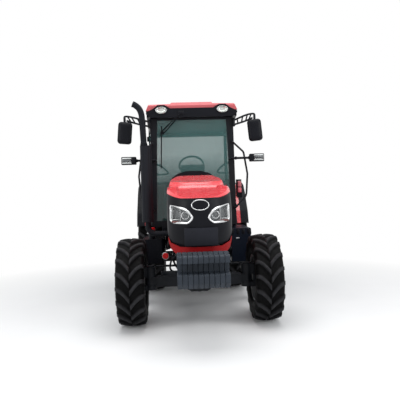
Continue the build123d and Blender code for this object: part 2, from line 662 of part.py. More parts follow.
# ---------------------------------------------------------------- weights and valance
def weights():
    """Set of suitcase weights, each a plate with a hook over the bar."""
    outline = [
        (WEIGHT_FRONT, 849), (WEIGHT_FRONT, 905), (WEIGHT_FRONT + 14, 921), (-1150, 925), (-1135, 908),
        (-1085, 912), (-1070, 936), (-1000, 938), (-930, 925),
        (-925, WEIGHT_HOOK_Z), (BAR_REAR + 8, WEIGHT_HOOK_Z),
        (BAR_REAR + 8, BAR_Z[1] + SEAT_GAP), (BAR_FRONT - SEAT_GAP, BAR_Z[1] + SEAT_GAP),
        (BAR_FRONT - SEAT_GAP, 640), (-1020, 612), (-1150, 610), (WEIGHT_FRONT, 662),
        (WEIGHT_FRONT, 738), (WEIGHT_FRONT + 13, 751), (-1112, 755), (-1100, 765), (-1100, 836), (-1112, 847),
    ]
    first = -WEIGHT_COUNT * WEIGHT_PITCH / 2 + WEIGHT_GAP / 2
    plates = []
    for i in range(WEIGHT_COUNT):
        x0 = first + i * WEIGHT_PITCH
        plates += slab_x(corners(outline), x0, x0 + WEIGHT_PITCH - WEIGHT_GAP).solids()
    return Compound(plates)


def nose_face(shrink, rear, nose=HOOD_NOSE):
    """Plan of the hood: side lines joined round the nose by three tangent arcs."""
    a, b, r = HOOD_HALF + HOOD_PLAN_EASE - shrink, HOOD_NOSE_DEPTH - shrink, HOOD_NOSE_CORNER - shrink
    front_r = (a * a + b * b - 2 * a * r) / (2 * (b - r))
    start = nose + HOOD_NOSE_DEPTH
    cy = front_r - b
    turn = atan2(cy, a - r)
    # the arcs meet on the line through their centres
    meet = (front_r * cos(-atan2(cy, a - r)), start + cy - front_r * sin(turn))
    mid = radians(-degrees(turn) / 2)
    corner = (a - r + r * cos(mid), start + r * sin(mid))
    arcs = [
        ThreePointArc((a, start), corner, meet),
        ThreePointArc(meet, (0, start - b), (-meet[0], meet[1])),
        ThreePointArc((-meet[0], meet[1]), (-corner[0], corner[1]), (-a, start)),
    ]
    sides = [Line((-a, start), (-a, rear)), Line((-a, rear), (a, rear)), Line((a, rear), (a, start))]
    return make_face([edge for curve in arcs + sides for edge in curve.edges()])


# levels of the hood's plan: Z, station of its foremost point
HOOD_LEVELS = [
    (850, -790), (HOOD_BOTTOM_FRONT, -842), (1100, -876), (1290, -886), (HOOD_LIP_Z, HOOD_LIP), (1560, -690),
    (1760, -330),
]
# path of the hood seen from the side: station, Z, corner radius; ahead of the nose to the rear
HOOD_SIDE = [
    (-960, HOOD_BOTTOM_FRONT, 0), (-960, 1417, 1), (-600, 1536, 120), (-400, 1600, 160),
    (0, 1652, 300), (300, 1716, 260), (430, 1728, 300), (HOOD_REAR, 1728, 0),
]
# half of the hood seen from the front: X, Z, corner radius; bottom of the nose to the crown
HOOD_FRONT = [
    (205, HOOD_BOTTOM_FRONT, 0), (296, 1012, 50), (331, 1085, 90), (335, 1290, 300), (328, 1545, 70),
    (290, 1672, 70), (205, 1722, 130), (0, 1732, 600),
]
# sunk panel on top of the nose: half width, distance up the slope from the lip
NOSE_PANEL = [(216, -150), (191, 424)]
PANEL_SLOPE = 14.9                 # degrees
PANEL_WALL = 62                    # degrees between its walls and its normal
PANEL_CLEAR = 60                   # the cut above the panel reaches this high


def nose_panel(shrink):
    """Space over the sunk panel, with walls that lean outwards."""
    slope, wall = radians(PANEL_SLOPE), radians(PANEL_WALL)
    start = (0, y(HOOD_LIP), HOOD_LIP_Z)
    plane = Plane(origin=start, x_dir=(1, 0, 0), z_dir=(0, -sin(slope), cos(slope)))
    (front, low), (rear, high) = NOSE_PANEL
    sections = []
    for level in (-shrink, PANEL_CLEAR):
        grow = level * tan(wall) + shrink / cos(wall)
        right = [(front + grow, low), (rear + grow, high + grow)]
        outline = right + [(-a, b) for a, b in reversed(right)]
        sections.append(plane.offset(level) * corners(outline))
    return loft(sections, ruled=True)


def hood_body(shrink):
    """Solid hood form, each surface moved inwards by shrink; open ends are run on when it shrinks."""
    run_on = 60 if shrink > 0 else 0
    side = inset([(s, z) for s, z, r in HOOD_SIDE], shrink)
    radii = [max(r - shrink, 1) for s, z, r in HOOD_SIDE[1:-1]]
    low = (side[0][0], side[0][1] - run_on)
    top_edge = FilletPolyline(low, *side[1:-1], (side[-1][0] + run_on, side[-1][1]), radius=radii)
    floor_points = [
        (side[-1][0] + run_on, side[-1][1]), (HOOD_REAR + run_on, 1130 - run_on),
        (-520, 1040 - run_on), (-700, 984 - run_on), low,
    ]
    side_face = make_face([*top_edge.edges(), *Polyline(*floor_points).edges()])
    half = HOOD_FRONT[:-1]
    path = [(-a, b, r) for a, b, r in half] + HOOD_FRONT[::-1]
    front = inset([(a, b) for a, b, r in path], shrink)
    ring = [max(r - shrink, 1) for a, b, r in path[1:-1]]
    low_left = (front[0][0], front[0][1] - run_on)
    low_right = (front[-1][0], front[-1][1] - run_on)
    arch_edge = FilletPolyline(low_left, *front[1:-1], low_right, radius=ring)
    front_face = make_face([*arch_edge.edges(), Line(low_right, low_left)])
    form = slab_x(side_face, -HOOD_HALF - 20, HOOD_HALF + 20)
    form &= slab_y(front_face, HOOD_NOSE - 60, HOOD_REAR + run_on + 5)
    rear = HOOD_REAR + run_on + 5
    form &= loft([Pos(0, FRONT_AXLE_Y, z) * nose_face(shrink, rear, nose) for z, nose in HOOD_LEVELS])
    return form - nose_panel(shrink)


def seam(gap):
    """Region ahead of the joint between the nose mask and the red hood."""
    outline = [
        (-1000, 880), (-1000, HOOD_LIP_Z - 7 - gap), (-795, HOOD_LIP_Z - 1 - gap), (-600, 1506 - gap),
        (-586 - gap, 1490), (-566 - gap, 880),
    ]
    return slab_x(corners(outline), -400, 400)


# outline of the left headlamp seen from the front: X, Z
HEADLAMP = [(72, 1250), (100, 1318), (160, 1358), (300, 1390), (306, 1225), (262, 1200), (120, 1196)]
HEADLAMP_FILLETS = [28, 45, 80, 16, 24, 60, 36]


def headlamp_face(shrink):
    """Headlamp outline made smaller all round."""
    face = corners(HEADLAMP, HEADLAMP_FILLETS)
    return offset(face, amount=-shrink) if shrink else face


def nose_layer(shell_out, shell_in, face):
    """Part of a layer under the nose's surface that lies behind an outline."""
    prism = slab_y(face, HOOD_NOSE - 50, -500)
    return (hood_body(shell_out) & prism) - hood_body(shell_in)


def hood_parts():
    """Red hood, black nose mask, headlamp lenses and their bezels."""
    shell = hood_body(0) - hood_body(HOOD_SHEET)
    red = shell - seam(0)
    lug = block(HINGE_LUG_X, (HINGE_STATION - 22, HINGE_STATION + 22), (HINGE_Z - 16, 1721))
    lug -= rod_x(HINGE_PIN_R + SEAT_GAP, 50, 250, HINGE_STATION, HINGE_Z)
    red += lug + mirrored(lug)
    mask = shell & seam(SEAM_GAP)
    hole = slab_y(headlamp_face(0), HOOD_NOSE - 50, -560)
    mask -= hole + mirrored(hole)
    bezel = nose_layer(0, 26, headlamp_face(SEAT_GAP)) - slab_y(headlamp_face(LAMP_RIM), -1000, -400)
    lens = nose_layer(7, 24, headlamp_face(LAMP_RIM + SEAT_GAP))
    return red, mask, both(lens), both(bezel)


def valance():
    """Red lower bumper round the foot of the nose, standing on the front support."""
    right = [(207, HOOD_BOTTOM_FRONT - MOVE_GAP - 1), (301, 1005), (321, 1052), (328, 1046), (322, 1000),
             (298, 938), (256, 900)]
    outline = [(-a, b) for a, b in right] + [(a, b) for a, b in reversed(right)]
    front = slab_y(corners(outline), HOOD_NOSE - 20, -560)
    ring = slab_z(nose_face(2, -560), 880, 1100) - slab_z(nose_face(26, -500), 870, 1110)
    tray = block((-200, 200), (-835, -640), (900, 940)) & slab_z(nose_face(4, -560), 880, 1100)
    posts = block((-120, 120), (-820, -700), (SUPPORT_TOP, 901))
    return (ring & front) + tray + posts


# ---------------------------------------------------------------- cab
SCUTTLE_LIFT = 4                   # the sill's rear edge stands this much over its front edge
SCREEN_PLANE_TILT = degrees(atan2(SCREEN_BOTTOM_STATION - SCREEN_TOP_STATION, SCREEN_HEAD_Z - SCREEN_FOOT_Z))


def screen_station(z):
    """Station of the front frame's face at a height."""
    rise = (z - SCREEN_FOOT_Z) / (SCREEN_HEAD_Z - SCREEN_FOOT_Z)
    return SCREEN_BOTTOM_STATION + (SCREEN_TOP_STATION - SCREEN_BOTTOM_STATION) * rise


def leaning(face, depth0, depth1):
    """Sheet in the leaning plane of the front frame; the outline is drawn in (X, Z)."""
    lean = tan(radians(SCREEN_PLANE_TILT))
    plane = Plane(
        origin=(0, y(SCREEN_BOTTOM_STATION), SCREEN_FOOT_Z), x_dir=(1, 0, 0), z_dir=(0, -1, -lean)
    )
    moved = plane.offset(-depth0) * Pos(0, -SCREEN_FOOT_Z) * face
    return extrude(moved, depth1 - depth0, dir=(0, 1, lean))


def trapezoid(foot, head, z0, z1):
    """Symmetrical outline, its half-width running from foot to head."""
    return [(-foot, z0), (foot, z0), (head, z1), (-head, z1)]


# half of the scuttle seen from the front: X, Z
SCUTTLE = [(318, SILL_TOP), (322, 1600), (296, 1700), (205, 1768), (90, 1797)]


def scuttle_face(grow):
    """Arched outline of the scuttle, larger all round by grow."""
    right = [(a, b) for a, b in SCUTTLE]
    path = [(-a, b) for a, b in right] + [(a, b) for a, b in reversed(right)]
    grown = inset(path, -grow)
    fillets = [200, 60, 60, 120, 120, 60, 60, 200]
    arch = FilletPolyline(*grown, radius=fillets)
    return make_face([*arch.edges(), Line(grown[-1], grown[0])])


def scuttle():
    """Black housing between the hood and the windscreen, with the hood's hinge."""
    body = slab_y(scuttle_face(0), HOOD_REAR + 11, 900)
    body -= block((-400, 400), (600, 1000), (0, SILL_TOP + SCUTTLE_LIFT))
    # gooseneck that leaves room for the hood's rear edge, which swings down behind the pin
    neck = [(-12, -2), (-5, 10), (7, 9), (14, -8), (77, -66), (77, -110), (60, -110), (-10, -14)]
    outline = corners([(HINGE_STATION + a, HINGE_Z + b) for a, b in neck])
    bracket = slab_x(outline, HINGE_LUG_X[1] + MOVE_GAP, HINGE_X[1])
    pin = rod_x(HINGE_PIN_R, *HINGE_X, HINGE_STATION, HINGE_Z)
    hinge = bracket + pin
    return body + hinge + mirrored(hinge)


def front_frame():
    """Front cab frame: A pillars, sill and header as one ring."""
    outer = corners(trapezoid(A_FOOT_OUT, A_HEAD_OUT, SCREEN_FOOT_Z, SCREEN_HEAD_Z))
    inner = corners(trapezoid(A_FOOT_IN, A_HEAD_IN, SILL_TOP, HEADER_BOTTOM))
    ring = leaning(outer - inner, 0, FRONT_FRAME_DEPTH)
    return ring - block((-900, 900), (0, 2000), (SCREEN_HEAD_Z, SCREEN_HEAD_Z + 200))


def windscreen():
    """Windscreen with its cut-out over the scuttle."""
    low, high = SILL_TOP + SEAT_GAP, HEADER_BOTTOM - SEAT_GAP
    pane = corners(trapezoid(A_FOOT_IN - SEAT_GAP, A_HEAD_IN - SEAT_GAP, low, high))
    glass = leaning(pane, GLASS_INSET, GLASS_INSET + GLASS_T)
    return glass - slab_y(scuttle_face(SEAT_GAP), 600, 1000)


def cab_floor():
    """Cab platform, narrow between the rear tyres."""
    plan = [
        (DOOR_FRONT_X - DOOR_T - MOVE_GAP, FLOOR_FRONT), (FLOOR_HALF, FLOOR_STEP - 30),
        (FLOOR_REAR_HALF, FLOOR_STEP), (FLOOR_REAR_HALF, CAB_REAR - 30),
    ]
    plan += [(-a, b) for a, b in reversed(plan)]
    return slab_z(corners(plan), *FLOOR_Z)


def above_fender(gap):
    """Fender path widened by a gap, for what stands on the fender."""
    return inset(FENDER_PATH, -gap)


def rear_frame():
    """Side shells with the B and C pillars, rear header, sill and rear wall."""
    arch = [p for p in above_fender(SEAT_GAP) if p[0] < CAB_REAR - 20]
    last = above_fender(SEAT_GAP)[len(arch)]
    share = (CAB_REAR - arch[-1][0]) / (last[0] - arch[-1][0])
    meet = (CAB_REAR, arch[-1][1] + share * (last[1] - arch[-1][1]))
    door_low = door_edge_station(DOOR_SLOPE) + MOVE_GAP
    knee = door_edge_station(DOOR_KNEE) + MOVE_GAP
    outline = [(door_low, FLOOR_Z[0])] + arch + [meet, (CAB_REAR, ROOF_Z[0]), (B_FRONT, ROOF_Z[0])]
    outline += [(B_FRONT, DOOR_KNEE_Z - MOVE_GAP), (knee, DOOR_KNEE_Z - MOVE_GAP)]
    bends = [0] * (len(outline) - 1) + [KNEE_FILLET - MOVE_GAP]
    side = slab_x(make_face(FilletPolyline(*outline, radius=bends, close=True)), SIDE_OUT - SIDE_T, SIDE_OUT)
    window = [
        (B_FRONT + B_WIDTH, QUARTER_SILL), (CAB_REAR - C_WIDTH, QUARTER_SILL),
        (CAB_REAR - C_WIDTH, RAIL_BOTTOM), (B_FRONT + B_WIDTH, RAIL_BOTTOM),
    ]
    side -= slab_x(corners(window, 30), 0, 700)
    rail_plan = [
        (A_HEAD_OUT - 48, RAIL_FRONT), (A_HEAD_OUT + 2, RAIL_FRONT),
        (SIDE_OUT, B_FRONT + 1), (SIDE_OUT - SIDE_T, B_FRONT + 1),
    ]
    side += slab_z(corners(rail_plan), RAIL_BOTTOM, ROOF_Z[0])
    for piece in pillar_hinges():
        side += piece
    frame = side + mirrored(side)
    half = SIDE_OUT - SIDE_T + 1
    frame += block((-half, half), (CAB_REAR - 50, CAB_REAR), (RAIL_BOTTOM, ROOF_Z[0]))
    frame += block((-half, half), (CAB_REAR - 50, CAB_REAR), (QUARTER_SILL - 42, QUARTER_SILL))
    wall = FLOOR_REAR_HALF
    return frame + block((-wall, wall), (CAB_REAR - 30, CAB_REAR), (FLOOR_Z[0], QUARTER_SILL - 40))


def rear_glazing():
    """Quarter windows and rear window."""
    g = SEAT_GAP
    pane = [
        (B_FRONT + B_WIDTH + g, QUARTER_SILL + g), (CAB_REAR - C_WIDTH - g, QUARTER_SILL + g),
        (CAB_REAR - C_WIDTH - g, RAIL_BOTTOM - g), (B_FRONT + B_WIDTH + g, RAIL_BOTTOM - g),
    ]
    quarter = slab_x(corners(pane, 30), SIDE_OUT - 16, SIDE_OUT - 16 + GLASS_T)
    half = SIDE_OUT - SIDE_T - g
    rear = block((-half, half), (CAB_REAR - 24, CAB_REAR - 24 + GLASS_T), (QUARTER_SILL + g, RAIL_BOTTOM - g))
    return Compound([*quarter.solids(), *mirrored(quarter).solids(), *rear.solids()])


# The door lies along a line in plan from the B pillar forward to the A pillar.
DOOR_REAR_X = SIDE_OUT
DOOR_REAR = B_FRONT - MOVE_GAP
DOOR_FRONT_X = A_HEAD_OUT + 11
DOOR_FRONT = SCREEN_BOTTOM_STATION + FRONT_FRAME_DEPTH + MOVE_GAP
DOOR_LENGTH = sqrt((DOOR_REAR_X - DOOR_FRONT_X) ** 2 + (DOOR_REAR - DOOR_FRONT) ** 2)


def door_edge_station(along):
    """Station of a point on the door, given its length forward from the hinge edge."""
    return DOOR_REAR - along * (DOOR_REAR - DOOR_FRONT) / DOOR_LENGTH


def door_reach(z):
    """Length of the door forward from its hinge edge, at a height; it follows the A pillar's lean."""
    return DOOR_LENGTH + SCREEN_BOTTOM_STATION - screen_station(z)


def door_sheet(face, depth0, depth1):
    """Sheet in the left door's plane; outline in (length from the hinge edge, Z), depth inwards."""
    forward = Vector(DOOR_FRONT_X - DOOR_REAR_X, DOOR_FRONT - DOOR_REAR, 0).normalized()
    inward = Vector(forward.Y, -forward.X, 0)
    if inward.X > 0:
        inward = inward * -1
    plane = Plane(origin=(DOOR_REAR_X, y(DOOR_REAR), 0), x_dir=forward, z_dir=forward.cross(Vector(0, 0, 1)))
    placed = Pos(*(inward * depth0)) * (plane * face)
    return extrude(placed, depth1 - depth0, dir=inward)


def door():
    """Left door: frame with handle and pull, and its pane."""
    outline = [
        (0, DOOR_TOP), (0, DOOR_KNEE_Z), (DOOR_KNEE, DOOR_KNEE_Z), (DOOR_SLOPE, DOOR_BOTTOM),
        (door_reach(DOOR_BOTTOM), DOOR_BOTTOM), (door_reach(DOOR_TOP), DOOR_TOP),
    ]
    outer = corners(outline, [20, 20, KNEE_FILLET, 60, 20, 20])
    inner = offset(outer, amount=-DOOR_FRAME_W)
    frame = door_sheet(outer - inner, 0, DOOR_T)
    glass = door_sheet(offset(outer, amount=-DOOR_FRAME_W - SEAT_GAP), 10, 10 + GLASS_T)
    handle_s = (DOOR_LENGTH - DOOR_FRAME_W - 150, DOOR_LENGTH - DOOR_FRAME_W / 2)
    handle = corners([(handle_s[0], 1300), (handle_s[1], 1300), (handle_s[1], 1345), (handle_s[0], 1345)], 8)
    frame += door_sheet(handle, -26, 0)
    for z in DOOR_HINGE_Z:
        frame += hinge_knuckle(z + HINGE_KNUCKLE + SEAT_GAP, -1)
        top = z + 2 * HINGE_KNUCKLE + 2
        frame -= rod_z(DOOR_PIN_R + SEAT_GAP, DOOR_REAR_X + DOOR_HINGE_R, DOOR_REAR, z - 1, top)
    return frame, glass


def hinge_knuckle(z, way):
    """Half of a door hinge from height z up, its leaf rearwards (way 1) or forwards (way -1)."""
    barrel = rod_z(DOOR_HINGE_R, DOOR_REAR_X + DOOR_HINGE_R, DOOR_REAR, z, z + HINGE_KNUCKLE)
    reach = sorted((DOOR_REAR, DOOR_REAR + way * HINGE_LEAF))
    root = 0 if way > 0 else -8
    return barrel + block((DOOR_REAR_X + root, DOOR_REAR_X + DOOR_HINGE_R), reach, (z, z + HINGE_KNUCKLE))


def pillar_hinges():
    """Hinge halves with their pins on the left B pillar."""
    parts = []
    for z in DOOR_HINGE_Z:
        parts.append(hinge_knuckle(z, 1))
        parts.append(rod_z(DOOR_PIN_R, DOOR_REAR_X + DOOR_HINGE_R, DOOR_REAR, z, z + 2 * HINGE_KNUCKLE))
    return parts


def headliner():
    """Black underside of the roof with its visor, raised over the work lamps."""
    plan = [(-ROOF_HALF + 12, ROOF_FRONT), (ROOF_HALF - 12, ROOF_FRONT), (SIDE_OUT + 6, B_FRONT),
            (SIDE_OUT + 6, ROOF_REAR - 12), (-SIDE_OUT - 6, ROOF_REAR - 12), (-SIDE_OUT - 6, B_FRONT)]
    tray = slab_z(corners(plan), ROOF_Z[0] + SEAT_GAP, ROOF_Z[1])
    hump_in, hump_out = WORK_LAMP_X - 118, WORK_LAMP_X + 98
    right = [
        (590, VISOR_Z - 68), (588, VISOR_Z - 46), (hump_out, VISOR_Z), (WORK_LAMP_X + 45, HUMP_Z),
        (WORK_LAMP_X - 45, HUMP_Z), (hump_in, VISOR_Z),
    ]
    top = right + [(-a, b) for a, b in reversed(right)]
    outline = [(540, ROOF_Z[0] - 10), *top, (-540, ROOF_Z[0] - 10)]
    visor = slab_y(corners(outline, 14), VISOR_FRONT, ROOF_FRONT)
    return tray + visor


def roof():
    """Red roof shell with its raised middle panel."""
    front = [
        (-ROOF_HALF, ROOF_Z[1]), (-ROOF_HALF + 39, ROOF_TOP - 32), (-PANEL_HALF - 16, ROOF_TOP - 24),
        (-PANEL_HALF, ROOF_TOP), (PANEL_HALF, ROOF_TOP), (PANEL_HALF + 16, ROOF_TOP - 24),
        (ROOF_HALF - 39, ROOF_TOP - 32), (ROOF_HALF, ROOF_Z[1]),
    ]
    side = [
        (ROOF_FRONT, ROOF_Z[1]), (ROOF_FRONT, ROOF_EDGE_Z), (ROOF_FRONT + 70, ROOF_TOP),
        (ROOF_REAR - 160, ROOF_TOP), (ROOF_REAR - 30, ROOF_EDGE_Z), (ROOF_REAR, ROOF_Z[1]),
    ]
    return slab_y(corners(front), ROOF_FRONT, ROOF_REAR) & slab_x(corners(side), -ROOF_HALF, ROOF_HALF)


def work_lamps():
    """Oval lamps in the visor and on the rear of the roof."""
    oval = Ellipse(*WORK_LAMP_HALF)
    lamps = []
    rear_s = ROOF_REAR - 12
    for x in (-WORK_LAMP_X, WORK_LAMP_X):
        placed = Pos(x, WORK_LAMP_Z) * oval
        lamps += slab_y(placed, VISOR_FRONT - WORK_LAMP_T, VISOR_FRONT).solids()
        lamps += slab_y(Pos(x, ROOF_Z[0] + 40) * Ellipse(70, 34), rear_s, rear_s + WORK_LAMP_T).solids()
    return Compound(lamps)


def fender():
    """Left rear fender: curved top over the tyre and the inner wall."""
    top = slab_x(band(FENDER_PATH, FENDER_T, FENDER_FILLET), FENDER_IN, FENDER_OUT)
    hoop = FilletPolyline(*FENDER_PATH, radius=FENDER_FILLET)
    wall_face = make_face([*hoop.edges(), Line(FENDER_PATH[-1], FENDER_PATH[0])])
    return top + slab_x(wall_face, FENDER_IN, FENDER_IN + 7)


def flare():
    """Left dark flare outside the fender, with a turned-down lip."""
    lip_path = inset(FENDER_PATH, 2)
    strip = slab_x(band(lip_path, FENDER_T + 4, FENDER_FILLET - 2), FENDER_OUT, FLARE_OUT - 10)
    lip = slab_x(band(lip_path, FLARE_LIP, FENDER_FILLET - 2), FLARE_OUT - 10, FLARE_OUT)
    return strip + lip


# side view of a fender lamp: station behind the rear axle, Z
FENDER_LAMP = [(-490, 1400), (-510, 1500), (-462, 1698), (-395, 1698), (-395, 1470)]


def fender_lamps():
    """Lamp housings standing on the front slope of the fenders."""
    outline = [(a + REAR_AXLE, b) for a, b in FENDER_LAMP]
    path = above_fender(SEAT_GAP)
    hoop = FilletPolyline(*path, radius=FENDER_FILLET)
    clear = slab_x(make_face([*hoop.edges(), Line(path[-1], path[0])]), 600, 900)
    return both(slab_x(corners(outline), 684, FENDER_OUT - 1) - clear)


# ---------------------------------------------------------------- outside the cab
def boxes():
    """Fuel tank with its neck, cap, and the battery box with its lid."""
    (x0, x1), (s0, s1), (z0, z1) = TANK
    tank = slab_z(corners([(x0, s0), (x1, s0), (x1, s1), (x0, s1)], TANK_FILLET), z0, z1)
    tank += rod_z(NECK_R, NECK_X, NECK_STATION, z1 - 1, NECK_TOP)
    cap = rod_z(CAP_R, NECK_X, NECK_STATION, NECK_TOP, CAP_TOP - 12)
    cap += rod_z(CAP_R - 12, NECK_X, NECK_STATION, CAP_TOP - 12, CAP_TOP)
    (x0, x1), (s0, s1), (z0, z1) = BATTERY
    front = [
        (x0, z0), (x1 - BATTERY_TAPER, z0), (x1 - BATTERY_TAPER, 690), (x1 - 10, z1 - 40), (x1, z1),
        (x1 - 4, LID_TOP - 8), (x1 - 20, LID_TOP), (x0 + 4, LID_TOP), (x0 - 17, z1 + 20),
        (x0 - 17, z1 - 30), (x0, z1 - 60),
    ]
    battery = slab_y(corners(front, 8), s0, s1)
    return tank, cap, battery


def steps():
    """Steps on both sides, hung on the outer faces of the boxes."""
    parts = []
    for outer, way in ((BATTERY[0][1] - BATTERY_TAPER, 1), (TANK[0][0], -1)):
        ladder = None
        for z in (400, 640):
            x0, x1 = sorted((outer + way * 8, outer + way * 158))
            tread = block((x0, x1), (900, 1240), (z, z + 28))
            ladder = tread if ladder is None else ladder + tread
        for station in (900, 1232):
            x0, x1 = sorted((outer, outer + way * 158))
            cheek = block((x0, x1), (station, station + 8), (400, 668))
            ladder = ladder + cheek
        x0, x1 = sorted((outer, outer + way * 8))
        ladder = ladder + block((x0, x1), (900, 1240), (606, 900 if way < 0 else 668))
        parts += ladder.solids()
    return Compound(parts)


def exhaust():
    """Upright muffler on its elbow, and the tail pipe with its bent tip."""
    low, high = MUFFLER_Z
    muffler = rod_z(MUFFLER_R, MUFFLER_X, MUFFLER_STATION, low, high)
    elbow = tube(
        [(-ENGINE_HALF - SEAT_GAP, MUFFLER_STATION, ELBOW_Z), (MUFFLER_X, MUFFLER_STATION, ELBOW_Z),
         (MUFFLER_X, MUFFLER_STATION, low + 1)], ELBOW_R, 100)
    tip_x, tip_z = PIPE_TIP
    pipe = tube(
        [(MUFFLER_X, MUFFLER_STATION, high + SEAT_GAP), (MUFFLER_X, MUFFLER_STATION, high + 60),
         (PIPE_X, MUFFLER_STATION, high + 180), (PIPE_X, MUFFLER_STATION, PIPE_BEND_Z),
         (tip_x, MUFFLER_STATION, tip_z)],
        PIPE_R, [60, 60, 160])
    return muffler + elbow, pipe


def mirrors():
    """Mirror heads and the truss arms that carry them."""
    width, depth, height = MIRROR_SIZE
    x, z, station = 880, 2312, 650
    head = slab_y(corners([(x - width / 2, z - height / 2), (x + width / 2, z - height / 2),
                           (x + width / 2, z + height / 2), (x - width / 2, z + height / 2)], MIRROR_FILLET),
                  station, station + depth)
    low = z + height / 2 + SEAT_GAP
    arm_face = [
        (528, 2440), (528, 2492), (600, 2496), (800, 2536), (885, 2536), (895, 2524), (895, low),
        (873, low), (873, 2510), (800, 2512),
    ]
    slots = [
        [(560, 2458), (560, 2482), (650, 2494), (650, 2474)],
        [(668, 2480), (668, 2498), (770, 2518), (770, 2506)],
    ]
    sheet = slab_y(corners(arm_face), station + 20, station + 40)
    for slot in slots:
        sheet -= slab_y(corners(slot), station, station + 60)
    foot = block((528, 548), (station + 21, screen_station(2492) - SEAT_GAP), (2440, 2492))
    return both(head), both(sheet + foot)


def side_lamps():
    """Side lamps on stalks from the A pillars."""
    z, station = 1945, 630
    body = slab_x(corners([(station - 35, z - 52), (station + 35, z - 52), (station + 35, z + 52),
                           (station - 35, z + 52)], 24), 735, 925)
    back = screen_station(z) - 1
    stalk = tube([(500, back, z), (500, station, z), (738, station, z)], STALK_R, 30)
    return both(body + stalk)


def grab_rails():
    """Bowed grab rails at the A pillars."""
    station = 700
    points = [
        (517, screen_station(2176) - 1, 2176), (517, station, 2176), (668, station, 2030),
        (712, station, 1742), (690, station, 1453), (535, station, 1291),
        (535, screen_station(1291) - 1, 1291),
    ]
    return both(tube(points, RAIL_R, [20, 60, 120, 120, 20]))


def oil_filter():
    """Filter beside the engine support, its cover facing forward."""
    body = rod_y(38, -380, 8, 150, 782) + rod_y(44, -380, 0, 8, 782)
    head = block((-400, -SUPPORT_HALF - SEAT_GAP), (110, 150), (760, 800))
    return body + head


# ---------------------------------------------------------------- inside the cab
def column():
    """Dash pod and steering column."""
    half = 160
    side = [(903, SILL_TOP + 60), (903, 1850), (960, 1894), (1075, 1870), (1090, 1600), (1010, 1180)]
    pod = slab_x(corners(side, 20), -half, half)
    foot = block((-90, 90), (903, 1000), (FLOOR_Z[1], SILL_TOP + 200))
    shaft = Pos(0, y(1350), 1905) * Rot(-45, 0, 0) * Pos(0, 0, -7 - SEAT_GAP - 195) * Cylinder(24, 390)
    return pod + foot + shaft


def steering_wheel():
    """Steering wheel on the slanted column."""
    ring = Torus(178, 12)
    hub = Pos(0, 0, 4) * Cylinder(38, 22)
    wheel = ring + hub
    for turn in (0, 120, 240):
        wheel += Rot(0, 0, turn + 90) * Pos(100, 0, 0) * Box(150, 26, 10)
    return Pos(0, y(1350), 1905) * Rot(-45, 0, 0) * wheel


def seat():
    """Seat pedestal, and the cushion with its backrest."""
    base = block((-170, 170), (SEAT_FRONT + 40, SEAT_FRONT + 420), (FLOOR_Z[1], SEAT_Z - 40))
    base += block((-230, 230), (SEAT_FRONT, SEAT_FRONT + 510), (SEAT_Z - 40, SEAT_Z))
    low = SEAT_Z + SEAT_GAP
    bends = [12, 30, 30, 12]
    s0, s1, top = SEAT_FRONT - 10, SEAT_FRONT + 430, SEAT_Z + 90
    cushion = slab_x(corners([(s0, low), (s0, top), (s1, top), (s1, low)], bends), -235, 235)
    rest = [(s1 + 2, low), (s1 + 50, top + 430), (s1 + 125, top + 430), (s1 + 115, low)]
    back = slab_x(corners(rest, bends), -215, 215)
    return base, Compound([*cushion.solids(), *back.solids()])


def main():
    os.makedirs("parts", exist_ok=True)
    wheels()
    write("front_axle", front_axle())
    left_knuckle = knuckle()
    write("knuckle_left", left_knuckle)
    write("knuckle_right", mirrored(left_knuckle))
    write("steering_rod", steering_rod())
    write("front_support", front_support())
    write("radiator", radiator())
    write("engine_block", engine())
    write("gearbox", gearbox())
    write("rear_axle", rear_axle())
    write("lower_links", lower_links())
    write("lift_arms", lift_arms())
    write("lift_rods", lift_rods())
    write("front_weights", weights())
    red, mask, lenses, bezels = hood_parts()
    write("hood_shell", red)
    write("hood_mask", mask)
    write("headlamp_lenses", lenses)
    write("headlamp_bezels", bezels)
    write("valance", valance())
    write("scuttle", scuttle())
    write("cab_front_frame", front_frame())
    write("windscreen", windscreen())
    write("cab_floor", cab_floor())
    write("cab_rear_frame", rear_frame())
    write("rear_glazing", rear_glazing())
    frame, glass = door()
    write("door_frame_left", frame)
    write("door_glass_left", glass)
    write("door_frame_right", mirrored(frame))
    write("door_glass_right", mirrored(glass))
    write("headliner", headliner())
    write("roof_shell", roof())
    write("work_lamps", work_lamps())
    write("rear_fenders", both(fender()))
    write("fender_flares", both(flare()))
    write("fender_lamps", fender_lamps())
    tank, cap, battery = boxes()
    write("fuel_tank", tank)
    write("fuel_cap", cap)
    write("battery_box", battery)
    write("steps", steps())
    muffler, pipe = exhaust()
    write("muffler", muffler)
    write("exhaust_pipe", pipe)
    heads, arms = mirrors()
    write("mirror_heads", heads)
    write("mirror_arms", arms)
    write("side_lamps", side_lamps())
    write("grab_rails", grab_rails())
    write("oil_filter", oil_filter())
    write("steering_column", column())
    write("steering_wheel", steering_wheel())
    base, cushions = seat()
    write("seat_base", base)
    write("seat_cushions", cushions)


if __name__ == "__main__":
    main()
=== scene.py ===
import json
import math

import bmesh
import bpy
import numpy as np
from mathutils import Matrix, Vector
from mathutils.bvhtree import BVHTree

